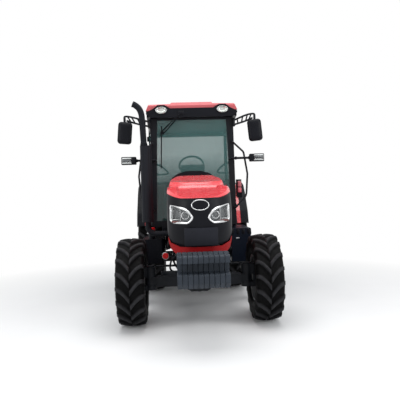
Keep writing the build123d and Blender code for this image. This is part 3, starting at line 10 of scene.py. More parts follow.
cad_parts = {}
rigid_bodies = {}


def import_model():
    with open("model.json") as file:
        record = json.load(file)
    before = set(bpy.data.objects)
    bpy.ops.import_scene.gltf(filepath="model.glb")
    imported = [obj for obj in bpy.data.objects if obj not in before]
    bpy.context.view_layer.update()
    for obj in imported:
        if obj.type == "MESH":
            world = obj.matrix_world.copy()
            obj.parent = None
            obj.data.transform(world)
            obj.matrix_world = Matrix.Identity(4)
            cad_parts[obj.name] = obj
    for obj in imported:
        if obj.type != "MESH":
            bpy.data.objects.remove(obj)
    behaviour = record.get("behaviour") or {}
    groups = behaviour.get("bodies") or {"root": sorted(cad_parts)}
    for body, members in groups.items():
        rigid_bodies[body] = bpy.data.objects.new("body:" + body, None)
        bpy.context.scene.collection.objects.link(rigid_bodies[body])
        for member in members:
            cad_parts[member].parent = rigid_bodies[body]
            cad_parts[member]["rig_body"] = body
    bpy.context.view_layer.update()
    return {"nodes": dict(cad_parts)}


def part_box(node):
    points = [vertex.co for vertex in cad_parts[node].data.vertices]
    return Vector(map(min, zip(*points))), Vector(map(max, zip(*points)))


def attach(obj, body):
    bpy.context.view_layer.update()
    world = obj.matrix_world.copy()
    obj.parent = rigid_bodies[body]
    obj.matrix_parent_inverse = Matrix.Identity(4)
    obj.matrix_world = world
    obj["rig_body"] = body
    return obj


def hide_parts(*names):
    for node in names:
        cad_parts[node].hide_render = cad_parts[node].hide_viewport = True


bl_info = {
    "name": "Farm tractor dressing",
    "version": (1, 0, 0),
    "blender": (4, 5, 0),
    "location": "3D View > Sidebar > Tractor",
    "description": "Finishes, tyres, lamps, glass and cab fittings of a compact farm tractor",
    "category": "Object",
}

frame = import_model()
NODES = frame["nodes"]
TURN = 2 * math.pi
SIDES = ((-1, "right"), (1, "left"))     # sign of X on each side of the tractor


# ---------------------------------------------------------------- sizes and colours
def colour_setting(label, value):
    """A colour a user may change."""
    return bpy.props.FloatVectorProperty(
        name=label, description=f"Colour of the {label.lower()}", default=value, subtype="COLOR", min=0, max=1
    )


def length_setting(label, value):
    """A length a user may change, in metres."""
    return bpy.props.FloatProperty(
        name=label, description=f"{label} in metres", default=value, unit="LENGTH", subtype="DISTANCE", min=0
    )


class TractorColours(bpy.types.PropertyGroup):
    """Colours of the tractor's finishes."""

    hood_red: colour_setting("Hood paint", (0.80, 0.030, 0.045))
    # paler and pinker than the hood red: a painted sheen of the light from above
    roof_red: colour_setting("Roof paint", (0.50, 0.080, 0.092))
    low_red: colour_setting("Bumper paint", (0.27, 0.003, 0.005))
    mask: colour_setting("Nose mask", (0.0060, 0.0064, 0.0092))
    trim: colour_setting("Black trim", (0.0045, 0.0052, 0.0080))
    frame_black: colour_setting("Cab frame", (0.0060, 0.0072, 0.0100))
    cast: colour_setting("Cast iron paint", (0.0095, 0.0110, 0.0140))
    weights: colour_setting("Front weights", (0.031, 0.038, 0.049))
    rim: colour_setting("Wheel rims", (0.110, 0.114, 0.120))
    rubber: colour_setting("Tyre rubber", (0.0055, 0.0055, 0.0060))
    glass: colour_setting("Cab glass", (0.075, 0.215, 0.205))
    seat: colour_setting("Seat cloth", (0.035, 0.037, 0.042))


class TractorTyres(bpy.types.PropertyGroup):
    """Tread of the tyres."""

    front_lugs: bpy.props.IntProperty(
        name="Front lugs", description="Lugs on each side of a front tyre", default=18, min=6, max=40
    )
    rear_lugs: bpy.props.IntProperty(
        name="Rear lugs", description="Lugs on each side of a rear tyre", default=21, min=6, max=40
    )
    lug_width: length_setting("Lug width", 0.031)
    front_depth: length_setting("Front tread depth", 0.034)
    rear_depth: length_setting("Rear tread depth", 0.042)


# ---------------------------------------------------------------- node materials
class Nodes:
    """Small wrapper that adds and links the nodes of one tree."""

    def __init__(self, tree):
        self.tree = tree
        self.tree.nodes.clear()

    def add(self, kind, **values):
        node = self.tree.nodes.new(kind)
        for key, value in values.items():
            setattr(node, key, value)
        return node

    def link(self, a, b):
        self.tree.links.new(a, b)

    def maths(self, operation, *values):
        """One arithmetic step on sockets or numbers."""
        node = self.add("ShaderNodeMath", operation=operation)
        for socket, value in zip(node.inputs, values):
            if isinstance(value, (int, float)):
                socket.default_value = value
            else:
                self.link(value, socket)
        return node.outputs[0]

    def seen(self):
        """1 on rays that show a thing directly, in a mirror or through glass, else 0."""
        rays = self.add("ShaderNodeLightPath")
        direct = self.maths("MAXIMUM", rays.outputs["Is Camera Ray"], rays.outputs["Is Glossy Ray"])
        return self.maths("MAXIMUM", direct, rays.outputs["Is Transmission Ray"])

    def mixed(self, amount, first, second, target):
        """Leads a mix of two shaders to a socket."""
        mix = self.add("ShaderNodeMixShader")
        for socket, value in zip(mix.inputs, (amount, first, second)):
            self.link(value, socket)
        self.link(mix.outputs[0], target)


class Shader(Nodes):
    """A material with one main shader, on the object's own coordinates."""

    def __init__(self, name):
        self.material = bpy.data.materials.new(name)
        self.material.use_nodes = True
        super().__init__(self.material.node_tree)
        self.out = self.add("ShaderNodeOutputMaterial")
        self.main = self.add("ShaderNodeBsdfPrincipled")
        self.link(self.main.outputs["BSDF"], self.out.inputs["Surface"])
        self.place = self.add("ShaderNodeTexCoord").outputs["Object"]

    def noise(self, scale, detail=4.0, rough=0.55):
        """Fractal noise."""
        node = self.add("ShaderNodeTexNoise")
        for name, number in (("Scale", scale), ("Detail", detail), ("Roughness", rough)):
            node.inputs[name].default_value = number
        self.link(self.place, node.inputs["Vector"])
        return node.outputs["Fac"]

    def cells(self, scale, evenness=None):
        """Distance to the middle of the nearest cell; evenness draws the middles into rows."""
        node = self.add("ShaderNodeTexVoronoi")
        node.inputs["Scale"].default_value = scale
        if evenness is not None:
            node.inputs["Randomness"].default_value = 1 - evenness
        self.link(self.place, node.inputs["Vector"])
        return node.outputs["Distance"]

    def axes(self):
        """Outputs X, Y and Z of the coordinates."""
        node = self.add("ShaderNodeSeparateXYZ")
        self.link(self.place, node.inputs[0])
        return node.outputs

    def spread(self, value, low, high, out_low, out_high):
        """Value moved from one range to another."""
        node = self.add("ShaderNodeMapRange")
        for name, number in (
            ("From Min", low), ("From Max", high), ("To Min", out_low), ("To Max", out_high)
        ):
            node.inputs[name].default_value = number
        self.link(value, node.inputs["Value"])
        return node.outputs["Result"]

    def drift(self, scale, detail, out_low=0, out_high=1, low=0.3, high=0.7):
        """Noise whose middle values, low to high, fill a range."""
        return self.spread(self.noise(scale, detail), low, high, out_low, out_high)

    def blend(self, amount, first, second):
        """Colour between two colours."""
        node = self.add("ShaderNodeMix", data_type="RGBA")
        self.link(amount, node.inputs["Factor"])
        for name, value in (("A", first), ("B", second)):
            socket = [s for s in node.inputs if s.name == name and s.type == "RGBA"][0]
            if isinstance(value, tuple):
                socket.default_value = (*value, 1)
            else:
                self.link(value, socket)
        return [s for s in node.outputs if s.type == "RGBA"][0]

    def feed(self, **sockets):
        """Links sockets to inputs of the main shader."""
        for key, socket in sockets.items():
            self.link(socket, self.main.inputs[key.replace("_", " ")])

    def set(self, **values):
        """Constant values of the main shader."""
        for key, value in values.items():
            self.main.inputs[key.replace("_", " ")].default_value = value

    def bump(self, height, distance, strength):
        """Surface relief from a height."""
        node = self.add("ShaderNodeBump")
        node.inputs["Distance"].default_value = distance
        node.inputs["Strength"].default_value = strength
        self.link(height, node.inputs["Height"])
        self.feed(Normal=node.outputs["Normal"])


def shaded(colour, factor):
    """A colour made darker or lighter."""
    return tuple(min(1.0, max(0.0, c * factor)) for c in colour)


def painted(name, colour, rough=0.28, coat=0.6, grain=0.00005, dust=0.05, shine=0.5, haze=0.08):
    """Sprayed paint: faint colour drift, orange peel and a thin veil of dust low down."""
    s = Shader(name)
    tone = s.blend(s.drift(2.4, 3, low=0.35, high=0.65), shaded(colour, 0.94), shaded(colour, 1.06))
    veil = s.maths("MULTIPLY", s.spread(s.axes()["Z"], 0.2, 1.4, dust, 0), s.noise(9, 5))
    s.feed(Base_Color=s.blend(veil, tone, (0.16, 0.145, 0.125)))
    s.feed(Roughness=s.drift(14, 4, rough * 0.85, rough * 1.2))
    s.set(Coat_Weight=coat, Coat_Roughness=haze, Specular_IOR_Level=shine)
    s.bump(s.noise(9, 2), grain, 0.2)
    return s.material


def moulded(name, colour, rough=0.45):
    """Moulded plastic: fine leather-like grain and a little unevenness in gloss."""
    s = Shader(name)
    s.feed(Base_Color=s.blend(s.drift(3.1, 4), shaded(colour, 0.82), shaded(colour, 1.18)))
    s.feed(Roughness=s.drift(22, 5, rough * 0.82, rough * 1.18))
    s.set(Specular_IOR_Level=0.12)
    s.bump(s.noise(900, 3), 0.0002, 0.7)
    return s.material


def cast_iron(name, colour, rough=0.5):
    """Painted casting: coarse sand texture under the paint, paler where it is rubbed."""
    s = Shader(name)
    s.feed(Base_Color=s.blend(s.drift(7, 6), shaded(colour, 0.75), shaded(colour, 1.25)))
    s.feed(Roughness=s.drift(30, 4, rough * 0.8, rough * 1.2))
    s.set(Specular_IOR_Level=0.15)
    s.bump(s.maths("ADD", s.noise(160, 5), s.maths("MULTIPLY", s.noise(18, 3), 1.5)), 0.0011, 0.6)
    return s.material


def plated(name, colour, rough=0.12):
    """Chrome or bare steel: bright metal with a slightly uneven polish."""
    s = Shader(name)
    s.feed(Base_Color=s.blend(s.drift(12, 4), shaded(colour, 0.9), shaded(colour, 1.05)))
    s.feed(Roughness=s.drift(40, 5, rough * 0.7, rough * 1.5))
    s.set(Metallic=1.0)
    s.bump(s.noise(90, 2), 0.0001, 0.3)
    return s.material


def tyre_rubber(name, colour):
    """Rubber: darker between the lugs, a painted shade in the grooves, and paler on the lug faces, a painted
    highlight with a little wear, from the lug attribute.
    """
    s = Shader(name)
    lug = s.add("ShaderNodeAttribute", attribute_name="lug").outputs["Fac"]
    # painted shade in the grooves, painted highlight with some random wear on the lug faces
    lug_highlight_and_wear = s.maths("MULTIPLY", lug, s.drift(26, 6, 0.55, 1.0, high=0.75))
    s.feed(Base_Color=s.blend(lug_highlight_and_wear, shaded(colour, 0.40), shaded(colour, 6.4)))
    s.feed(Roughness=s.drift(34, 5, 0.50, 0.72))
    s.set(Specular_IOR_Level=0.08)
    s.bump(s.maths("ADD", s.noise(240, 4), s.noise(42, 3)), 0.0009, 0.5)
    return s.material


def tinted_glass(name, colour, veil, deep=0.0):
    """Tinted safety glass: a see-through tint with a glossy face and faint smears. deep is how much
    painted shade darkens the tint towards the sill and makes it less see-through there."""
    s = Shader(name)
    smear = s.spread(s.noise(2.2, 5, 0.6), 0.3, 0.7, 0, 1)
    # painted shade: towards the sill the glass turns darker and less see-through
    low = s.maths("ADD", s.axes()["Z"], s.drift(3.5, 4, -0.06, 0.06))
    low = s.spread(low, 1.62, 2.0, deep, 0)
    upper = s.blend(smear, shaded(colour, 0.9), shaded(colour, 1.1))
    s.feed(Base_Color=s.blend(low, upper, shaded(colour, 0.34)))
    s.feed(Roughness=s.drift(6, 4, 0.02, 0.06), Alpha=s.spread(low, 0, 1, veil, 0.80))
    s.set(IOR=1.5)
    return s.material


def clear_lens(name, colour):
    """Clear lamp cover: a glossy face that lets nearly all light through."""
    s = Shader(name)
    s.feed(Base_Color=s.blend(s.noise(30, 2), shaded(colour, 0.90), shaded(colour, 1.0)))
    s.feed(Roughness=s.drift(50, 3, 0.03, 0.08))
    s.set(Alpha=0.10, IOR=1.45)
    return s.material


def coloured_lens(name, colour):
    """Coloured reflector lens with a fine prism pattern."""
    s = Shader(name)
    prism = s.cells(160)
    s.feed(Base_Color=s.blend(s.spread(prism, 0, 0.8, 0, 1), shaded(colour, 1.25), shaded(colour, 0.6)))
    s.set(Roughness=0.12, Coat_Weight=0.8, Coat_Roughness=0.03)
    s.bump(prism, 0.0012, 0.6)
    return s.material


def seat_cloth(name, colour):
    """Woven seat cloth: two crossed waves for the weave and a soft sheen."""
    s = Shader(name)
    waves = []
    for direction in ("X", "Z"):
        wave = s.add("ShaderNodeTexWave", wave_type="BANDS", bands_direction=direction)
        wave.inputs["Scale"].default_value = 150
        s.link(s.place, wave.inputs["Vector"])
        waves.append(wave.outputs["Fac"])
    weave = s.maths("MULTIPLY", *waves)
    s.feed(Base_Color=s.blend(weave, shaded(colour, 0.6), shaded(colour, 1.5)))
    s.set(Roughness=0.85, Sheen_Weight=0.3)
    s.bump(weave, 0.0008, 0.7)
    return s.material


def perforated(name, colour):
    """Sheet punched with staggered holes: dimples in the relief, with painted shade in each hole."""
    s = Shader(name)
    spots = s.cells(48, 0.88)
    # painted shade in the holes
    s.feed(Base_Color=s.blend(s.spread(spots, 0.24, 0.34, 1, 0), shaded(colour, 1.4), shaded(colour, 0.15)))
    s.set(Roughness=0.6, Specular_IOR_Level=0.12)
    s.bump(s.spread(spots, 0.2, 0.36, 0, 1), 0.003, 0.8)
    return s.material


MATERIALS = {}


def make_materials():
    """Every finish on the tractor, by its plain name."""
    c = bpy.context.scene.tractor_colours
    dark = (0.0075, 0.0090, 0.0125)
    MATERIALS.update({
        "hood_paint": painted("Hood red paint", c.hood_red, 0.26, 1.0, haze=0.22, grain=0.00003),
        # roof paint with a painted sheen of the light from above
        "roof_paint_with_sheen": painted("Roof red paint", c.roof_red, 0.42, 0.3),
        "low_paint": painted("Bumper red paint", c.low_red, 0.4, 0.0, shine=0.12),
        "mask_plastic": moulded("Nose mask plastic", c.mask, 0.36),
        "black_trim": moulded("Black trim plastic", c.trim, 0.42),
        "cab_paint": painted("Cab frame black", c.frame_black, 0.4, 0, dust=0.04, shine=0.16),
        "cast_paint": cast_iron("Axle casting paint", c.cast),
        "weight_paint": cast_iron("Weight casting paint", c.weights, 0.46),
        "rim_paint": painted("Rim grey paint", c.rim, 0.4, 0.2),
        "rubber": tyre_rubber("Tyre rubber", c.rubber),
        "glass": tinted_glass("Tinted cab glass", c.glass, 0.35),
        # windscreen with full painted shade towards its sill
        "screen_glass": tinted_glass("Windscreen glass", c.glass, 0.35, deep=1.0),
        "chrome": plated("Lamp chrome", (0.74, 0.75, 0.76)),
        "steel": plated("Bare steel", (0.44, 0.45, 0.47), 0.3),
        "lens": clear_lens("Clear lamp lens", (0.72, 0.75, 0.76)),
        "red_lens": coloured_lens("Red lamp lens", (0.80, 0.10, 0.14)),
        "amber_lens": coloured_lens("Dark red lamp lens", (0.14, 0.022, 0.018)),
        "cap_red": moulded("Red cap plastic", (0.52, 0.012, 0.014), 0.35),
        "heat_shield": perforated("Punched heat shield", (0.0075, 0.0085, 0.0115)),
        "exhaust": painted("Exhaust heat paint", dark, 0.55, 0, dust=0, shine=0.1),
        "seat_cloth": seat_cloth("Seat cloth", c.seat),
        "mirror": plated("Mirror glass", (0.7, 0.72, 0.74), 0.03),
        "plate": moulded("Bare plate", (0.017, 0.018, 0.024), 0.5),
        "lamp_dark": coloured_lens("Dark lamp unit", (0.05, 0.055, 0.06)),
        "pink_lens": coloured_lens("Tail lamp lens", (0.62, 0.09, 0.12)),
        "tail_lens": coloured_lens("Rear lamp lens", (0.30, 0.008, 0.010)),
        "box_paint": moulded("Box plastic", (0.0050, 0.0085, 0.0170), 0.4),
        "dark_metal": plated("Dull bright metal", (0.26, 0.27, 0.28), 0.25),
        "lamp_silver": plated("Work lamp rim", (0.50, 0.52, 0.52), 0.2),
        "lamp_bowl": plated("Work lamp reflector", (0.55, 0.57, 0.54), 0.16),
    })


# the CAD nodes that have each finish
FINISH_NODES = {
    "hood_paint": "hood_shell rear_fenders",
    "mask_plastic": "hood_mask",
    "chrome": "headlamp_bezels work_lamps",
    "lens": "headlamp_lenses",
    "low_paint": "valance",
    "black_trim": (
        "scuttle headliner fender_flares fender_lamps fuel_tank mirror_heads side_lamps oil_filter "
        "steering_column steering_wheel seat_base radiator"
    ),
    "cab_paint": (
        "cab_front_frame cab_rear_frame cab_floor door_frame_left door_frame_right steps "
        "mirror_arms grab_rails"
    ),
    "screen_glass": "windscreen",
    "glass": "rear_glazing door_glass_left door_glass_right",
    "roof_paint_with_sheen": "roof_shell",
    "cap_red": "fuel_cap",
    "box_paint": "battery_box",
    "heat_shield": "muffler",
    "exhaust": "exhaust_pipe",
    "seat_cloth": "seat_cushions",
    "cast_paint": (
        "front_axle knuckle_left knuckle_right steering_rod front_support engine_block gearbox "
        "rear_axle lower_links lift_arms lift_rods"
    ),
    "weight_paint": "front_weights",
    "rim_paint": "rim_front_left rim_front_right rim_rear_left rim_rear_right",
    "rubber": "tyre_front_left tyre_front_right tyre_rear_left tyre_rear_right",
}
NODE_FINISH = {node: finish for finish, nodes in FINISH_NODES.items() for node in nodes.split()}


# ---------------------------------------------------------------- meshes
def placed(name, data):
    """New object of some data, put in the scene."""
    thing = bpy.data.objects.new(name, data)
    bpy.context.scene.collection.objects.link(thing)
    return thing


class Sheets:
    """Collects grids of points and makes one mesh of them."""

    def __init__(self):
        self.points = []
        self.faces = []
        self.finishes = []
        self.values = []
        self.count = 0

    def add(self, points, wrap_rows=False, wrap_columns=False, finish=0, values=None, caps=False, flip=False):
        """Adds the surface through a grid (rows, columns, 3); caps closes its first and last rows."""
        rows, columns = points.shape[:2]
        r = np.arange(rows if wrap_rows else rows - 1)[:, None]
        c = np.arange(columns if wrap_columns else columns - 1)[None, :]
        r1, c1 = (r + 1) % rows, (c + 1) % columns
        quads = np.stack([r * columns + c, r * columns + c1, r1 * columns + c1, r1 * columns + c], -1)
        quads = quads.reshape(-1, 4) + self.count
        if flip:
            quads = quads[:, ::-1]
        self.faces += quads.tolist()
        self.finishes += [finish] * len(quads)
        if caps:
            ends = [np.arange(columns)[::-1], np.arange(columns) + (rows - 1) * columns]
            for ring in ends:
                ring = ring + self.count
                self.faces.append((ring[::-1] if flip else ring).tolist())
                self.finishes.append(finish)
        self.points.append(points.reshape(-1, 3))
        self.values.append(np.zeros(rows * columns) if values is None else values.reshape(-1))
        self.count += rows * columns
        return self

    def skin(self, points, finish=0, flip=False):
        """Adds a form that is closed round its columns and open at its first and last rows."""
        return self.add(points, wrap_columns=True, finish=finish, flip=flip)

    def solid(self, points, finish=0, flip=False):
        """Adds a form that is closed all over."""
        return self.add(points, wrap_columns=True, finish=finish, caps=True, flip=flip)

    def build(self, name, body, finishes, slot, attribute=None):
        """Makes the object, gives it its finishes and lets it ride on its body."""
        mesh = bpy.data.meshes.new(name)
        mesh.from_pydata(np.concatenate(self.points), [], self.faces)
        mesh.polygons.foreach_set("material_index", self.finishes)
        mesh.polygons.foreach_set("use_smooth", [True] * len(self.faces))
        if attribute:
            layer = mesh.attributes.new(attribute, "FLOAT", "POINT")
            layer.data.foreach_set("value", np.concatenate(self.values).astype(np.float32))
        for finish in finishes:
            mesh.materials.append(MATERIALS[finish])
        piece = placed(name, mesh)
        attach(piece, body)
        return piece


def dressed(node, width):
    """Copy of a CAD node with its edges rounded, which then stands for the node."""
    source = NODES[node]
    mesh = source.data.copy()
    work = bmesh.new()
    work.from_mesh(mesh)
    bmesh.ops.remove_doubles(work, verts=work.verts, dist=0.00002)
    bmesh.ops.dissolve_limit(
        work, angle_limit=math.radians(0.6), verts=work.verts, edges=work.edges, delimit={"SHARP"}
    )
    bmesh.ops.recalc_face_normals(work, faces=work.faces)
    work.to_mesh(mesh)
    work.free()
    mesh.materials.clear()
    mesh.materials.append(MATERIALS[NODE_FINISH[node]])
    mesh.polygons.foreach_set("material_index", [0] * len(mesh.polygons))
    mesh.polygons.foreach_set("use_smooth", [True] * len(mesh.polygons))
    piece = placed(node + "_finished", mesh)
    bevel = piece.modifiers.new("edges", "BEVEL")
    bevel.width = width
    bevel.segments = 2
    bevel.limit_method = "ANGLE"
    bevel.angle_limit = math.radians(32)
    bevel.use_clamp_overlap = True
    bevel.harden_normals = False
    normals = piece.modifiers.new("normals", "WEIGHTED_NORMAL")
    normals.keep_sharp = True
    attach(piece, source["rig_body"])
    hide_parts(node)
    return piece


def circle(count, start=0.0):
    """Angles evenly round a turn."""
    return start + np.arange(count) * TURN / count


def smooth_path(points, count):
    """Catmull-Rom curve through points, sampled evenly in its parameter."""
    p = np.asarray(points, float)
    p = np.concatenate([2 * p[:1] - p[1:2], p, 2 * p[-1:] - p[-2:-1]])
    t = np.linspace(0, len(p) - 3 - 1e-9, count)
    i = t.astype(int)
    u = (t - i)[:, None]
    a, b, c, d = p[i], p[i + 1], p[i + 2], p[i + 3]
    return 0.5 * (2 * b + (c - a) * u + (2 * a - 5 * b + 4 * c - d) * u**2 + (3 * b - a - 3 * c + d) * u**3)


def tube_along(path, radius, sides=16, up=(0, 0, 1)):
    """Grid of a round tube: at each path point a circle in the plane across the path's tangent."""
    tangent = np.gradient(path, axis=0)
    tangent /= np.linalg.norm(tangent, axis=1, keepdims=True)
    side = np.cross(tangent, np.asarray(up, float))
    side /= np.linalg.norm(side, axis=1, keepdims=True)
    other = np.cross(side, tangent)
    a = circle(sides)
    r = np.broadcast_to(np.asarray(radius, float), (len(path),))[:, None, None]
    ring = side[:, None] * np.cos(a)[None, :, None] + other[:, None] * np.sin(a)[None, :, None]
    return path[:, None] + r * ring


def rod(first, last, radius, sides=12):
    """Grid of a straight round rod between two points."""
    t = np.linspace(0, 1, 2)[:, None]
    path = np.asarray(first, float) * (1 - t) + np.asarray(last, float) * t
    up = (0, 0, 1) if abs(path[1, 2] - path[0, 2]) < 0.9 * np.linalg.norm(path[1] - path[0]) else (0, 1, 0)
    return tube_along(path, radius, sides, up)


def rounded_rectangle(half_x, half_z, radius, steps=7):
    """Points (X, Z) round a rectangle: quarter circles of the radius about its four inner corners."""
    quarter = np.linspace(0, math.pi / 2, steps)
    a = np.concatenate([quarter + k * math.pi / 2 for k in range(4)])
    sign_x = np.repeat([1, -1, -1, 1], steps)
    sign_z = np.repeat([1, 1, -1, -1], steps)
    x = sign_x * (half_x - radius) + radius * np.cos(a)
    z = sign_z * (half_z - radius) + radius * np.sin(a)
    return np.stack([x, z], -1)


def pillow(half_x, half_z, corner, profile):
    """Grid of a rounded plate facing Y: for each (inset, y) of the profile a rounded rectangle
    drawn in by the inset."""
    rows = []
    for inset, y in profile:
        ring = rounded_rectangle(half_x - inset, half_z - inset, max(corner - inset, 0.002))
        rows.append(np.stack([ring[:, 0], np.full(len(ring), y), ring[:, 1]], -1))
    return np.stack(rows)


def leaned(grid, centre, angle):
    """Grid turned about the Y direction through a point: x' = x cos a + z sin a, z' = z cos a - x sin a."""
    x, z = grid[..., 0], grid[..., 2]
    turned = np.stack(
        [x * math.cos(angle) + z * math.sin(angle), grid[..., 1], z * math.cos(angle) - x * math.sin(angle)],
        -1,
    )
    return turned + np.asarray(centre, float)


def rounded_block(centre, half, radius, steps=5):
    """Grid of a box with round edges: a sphere of the radius pulled apart along X, Y and Z."""
    half = np.asarray(half, float) - radius
    quarter = np.linspace(0, math.pi / 2, steps)
    around = np.concatenate([quarter + k * math.pi / 2 for k in range(4)])
    sign_x = np.repeat([1, -1, -1, 1], steps)
    sign_y = np.repeat([1, 1, -1, -1], steps)
    rise = np.concatenate([quarter - math.pi / 2, quarter])
    sign_z = np.repeat([-1, 1], steps)
    x = np.cos(rise)[:, None] * np.cos(around)[None] * radius + sign_x[None] * half[0]
    y = np.cos(rise)[:, None] * np.sin(around)[None] * radius + sign_y[None] * half[1]
    z = np.sin(rise)[:, None] * radius + (sign_z * half[2])[:, None] + 0 * x
    return np.stack([x, y, z], -1) + np.asarray(centre, float)


def turned(axis, profile, centre, sides=48, out=1):
    """Grid of a profile (offset along an axis, radius) turned about a line along X, Y or Z. out is
    -1 where the offsets run against the axis."""
    p = np.asarray(profile, float)
    a = circle(sides)
    along = np.broadcast_to(out * p[:, :1], (len(p), sides))
    u, v = p[:, 1:] * np.cos(a), p[:, 1:] * np.sin(a)
    grid = {"x": (along, u, v), "y": (u, along, v), "z": (u, v, along)}[axis]
    return np.stack(grid, -1) + np.asarray(centre, float)


# ---------------------------------------------------------------- tyres
def tyre_grid(radius, width, rim_r, rim_w, depth, lugs, lug_width, out):
    """Grid of a lugged tyre about the origin.

    Two section curves run from bead to bead, the carcass and the envelope of the lug tips. A point
    lies on the carcass and is lifted to the envelope where it falls on a lug. A lug's middle line
    leaves the middle of the tread steeply and flattens towards the shoulder; the two sides are
    half a pitch apart, and the middle ends lead as the tyre rolls forward.
    """
    rows, columns = 760, 74
    half = width / 2
    rise = radius - rim_r
    bead = rim_w / 2 - 0.013
    envelope = [
        (bead, rim_r + 0.002), (bead + 0.004, rim_r + 0.022), (half * 0.93, rim_r + 0.20 * rise),
        (half * 0.995, rim_r + 0.46 * rise), (half * 0.985, rim_r + 0.72 * rise),
        (half * 0.93, radius - 0.115 * rise), (half * 0.84, radius - 0.060 * rise),
        (half * 0.5, radius - 0.018 * rise), (half * 0.2, radius - 0.003 * rise), (0, radius),
    ]
    skin = [
        (bead, rim_r + 0.002), (bead + 0.004, rim_r + 0.022), (half * 0.92, rim_r + 0.20 * rise),
        (half * 0.985, rim_r + 0.46 * rise), (half * 0.955, rim_r + 0.70 * rise),
        (half * 0.86, radius - depth * 1.35), (half * 0.74, radius - depth * 1.08),
        (half * 0.45, radius - depth * 1.02), (half * 0.18, radius - depth), (0, radius - depth),
    ]
    tip, base = (smooth_path(side + [(-a, b) for a, b in side[-2::-1]], columns) for side in (envelope, skin))
    angle = np.linspace(0, TURN, rows, endpoint=False)[:, None]
    x = tip[None, :, 0]
    s = np.clip(np.abs(x) / half, 0, 1.0)
    pitch = TURN / lugs
    shift = np.where(x * out > 0, 0.0, pitch / 2)
    reach = 0.80 * pitch
    power = 1.7
    middle = -reach * (1 - s) ** power
    slope = power * reach * np.clip(1 - s, 0.02, 1) ** (power - 1) * radius / half
    lean = 1 / np.sqrt(1 + slope**2)
    away = (angle - shift - middle + pitch / 2) % pitch - pitch / 2
    away = np.abs(away) * radius * lean
    w = lug_width / 2 * (0.94 + 0.2 * s)
    soft = 0.007
    lug = np.clip((w + soft - away) / soft, 0, 1)
    low = np.clip((tip[None, :, 1] - (radius - 0.33 * rise)) / (0.05 * rise), 0, 1)
    lug = lug * low
    lug = lug * lug * (3 - 2 * lug)
    r = base[None, :, 1] + lug * (tip[None, :, 1] - base[None, :, 1])
    side = base[None, :, 0] + lug * (tip[None, :, 0] - base[None, :, 0]) + 0 * angle
    grid = np.stack([side, -r * np.cos(angle), r * np.sin(angle)], -1)
    return grid, lug


def build_tyres():
    """Lugged tyres in place of the plain ones."""
    t = bpy.context.scene.tractor_tyres
    for place, lugs, depth in (("front", t.front_lugs, t.front_depth), ("rear", t.rear_lugs, t.rear_depth)):
        for out, side in reversed(SIDES):
            node = f"tyre_{place}_{side}"
            low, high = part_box(node)
            rim_low, rim_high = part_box(f"rim_{place}_{side}")
            centre = (low + high) / 2
            radius = (high.z - low.z) / 2
            rim_r = (rim_high.z - rim_low.z) / 2 - 0.018
            grid, lug = tyre_grid(
                radius, high.x - low.x, rim_r, rim_high.x - rim_low.x, depth, lugs,
                t.lug_width * (1 if place == "front" else 1.25), out,
            )
            sheets = Sheets().add(grid + np.array(centre), wrap_rows=True, values=lug, flip=True)
            piece = sheets.build(
                node + "_lugged", f"wheel_{place}_{side}", ["rubber"], "tyre", attribute="lug"
            )
            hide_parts(node)


def build_wheel_fittings():
    """Hub cap and a ring of studs with nuts on the outer face of each wheel disc."""
    # offset outwards, radius
    nut = [
        (-0.004, 0.021), (0.002, 0.021), (0.003, 0.016), (0.018, 0.016), (0.021, 0.0125), (0.021, 0.009),
        (0.032, 0.0085), (0.034, 0.0),
    ]
    for place, circle_r, hub_r in (("front", 0.105, 0.062), ("rear", 0.130, 0.075)):
        cap = [(-0.010, hub_r), (0.020, hub_r), (0.032, hub_r * 0.9), (0.036, hub_r * 0.6), (0.036, 0.0)]
        for out, side in reversed(SIDES):
            rim = f"rim_{place}_{side}"
            low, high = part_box(f"rim_{place}_{side}")
            centre = np.array((low + high) / 2)
            parts = Sheets()
            spot = (disc_face(rim, centre, hub_r - 0.008, out), centre[1], centre[2])
            parts.skin(turned("x", cap, spot, 40, out), flip=out < 0)
            face = disc_face(rim, centre, circle_r, out)
            for a in circle(8, 0.2):
                spot = (face, centre[1] + circle_r * math.cos(a), centre[2] + circle_r * math.sin(a))
                parts.skin(turned("x", nut, spot, 12, out), finish=1, flip=out < 0)
            parts.build(
                f"wheel_fittings_{place}_{side}", f"wheel_{place}_{side}", ["rim_paint", "steel"],
                "rim_grey",
            )


def struck(node, start, direction):
    """Point where a ray from outside first meets a CAD node."""
    mesh = NODES[node].data
    tree = BVHTree.FromPolygons([v.co for v in mesh.vertices], [f.vertices for f in mesh.polygons])
    hit = tree.ray_cast(Vector(start), Vector(direction))
    if hit[0] is None:
        raise RuntimeError(f"no face found on {node}")
    return hit[0]


def disc_face(node, centre, radius, out):
    """X of a wheel disc's outer face at a distance from its axle."""
    start = (centre[0] + out * 0.6, centre[1] + radius * 0.6, centre[2] + radius * 0.8)
    return struck(node, start, (-out, 0, 0)).x


# ---------------------------------------------------------------- nose
def front_fit(*names):
    """Front face of some nodes as a smooth function: Y is fitted by least squares as a
    polynomial in X squared and Z to the vertices whose faces look forward."""
    points, looks = [], []
    for name in names:
        mesh = NODES[name].data
        co = np.zeros(len(mesh.vertices) * 3)
        mesh.vertices.foreach_get("co", co)
        co = co.reshape(-1, 3)
        count = len(mesh.polygons)
        normals = np.zeros(count * 3)
        mesh.polygons.foreach_get("normal", normals)
        corners = np.zeros(count * 3, int)
        mesh.polygons.foreach_get("vertices", corners)
        points.append(co[corners])
        looks.append(np.repeat(normals.reshape(-1, 3), 3, axis=0))
    points, looks = np.concatenate(points), np.concatenate(looks)
    points = points[looks[:, 1] < -0.25]
    low, high = points.min(0), points.max(0)
    middle, half = (low + high) / 2, (high - low) / 2

    def terms(x, z):
        a = (x / half[0]) ** 2
        b = (z - middle[2]) / half[2]
        return np.stack([a**i * b**j for i in range(4) for j in range(5)], -1)

    weights, *_ = np.linalg.lstsq(terms(points[:, 0], points[:, 2]), points[:, 1], rcond=None)
    return lambda x, z: terms(np.asarray(x, float), np.asarray(z, float)) @ weights


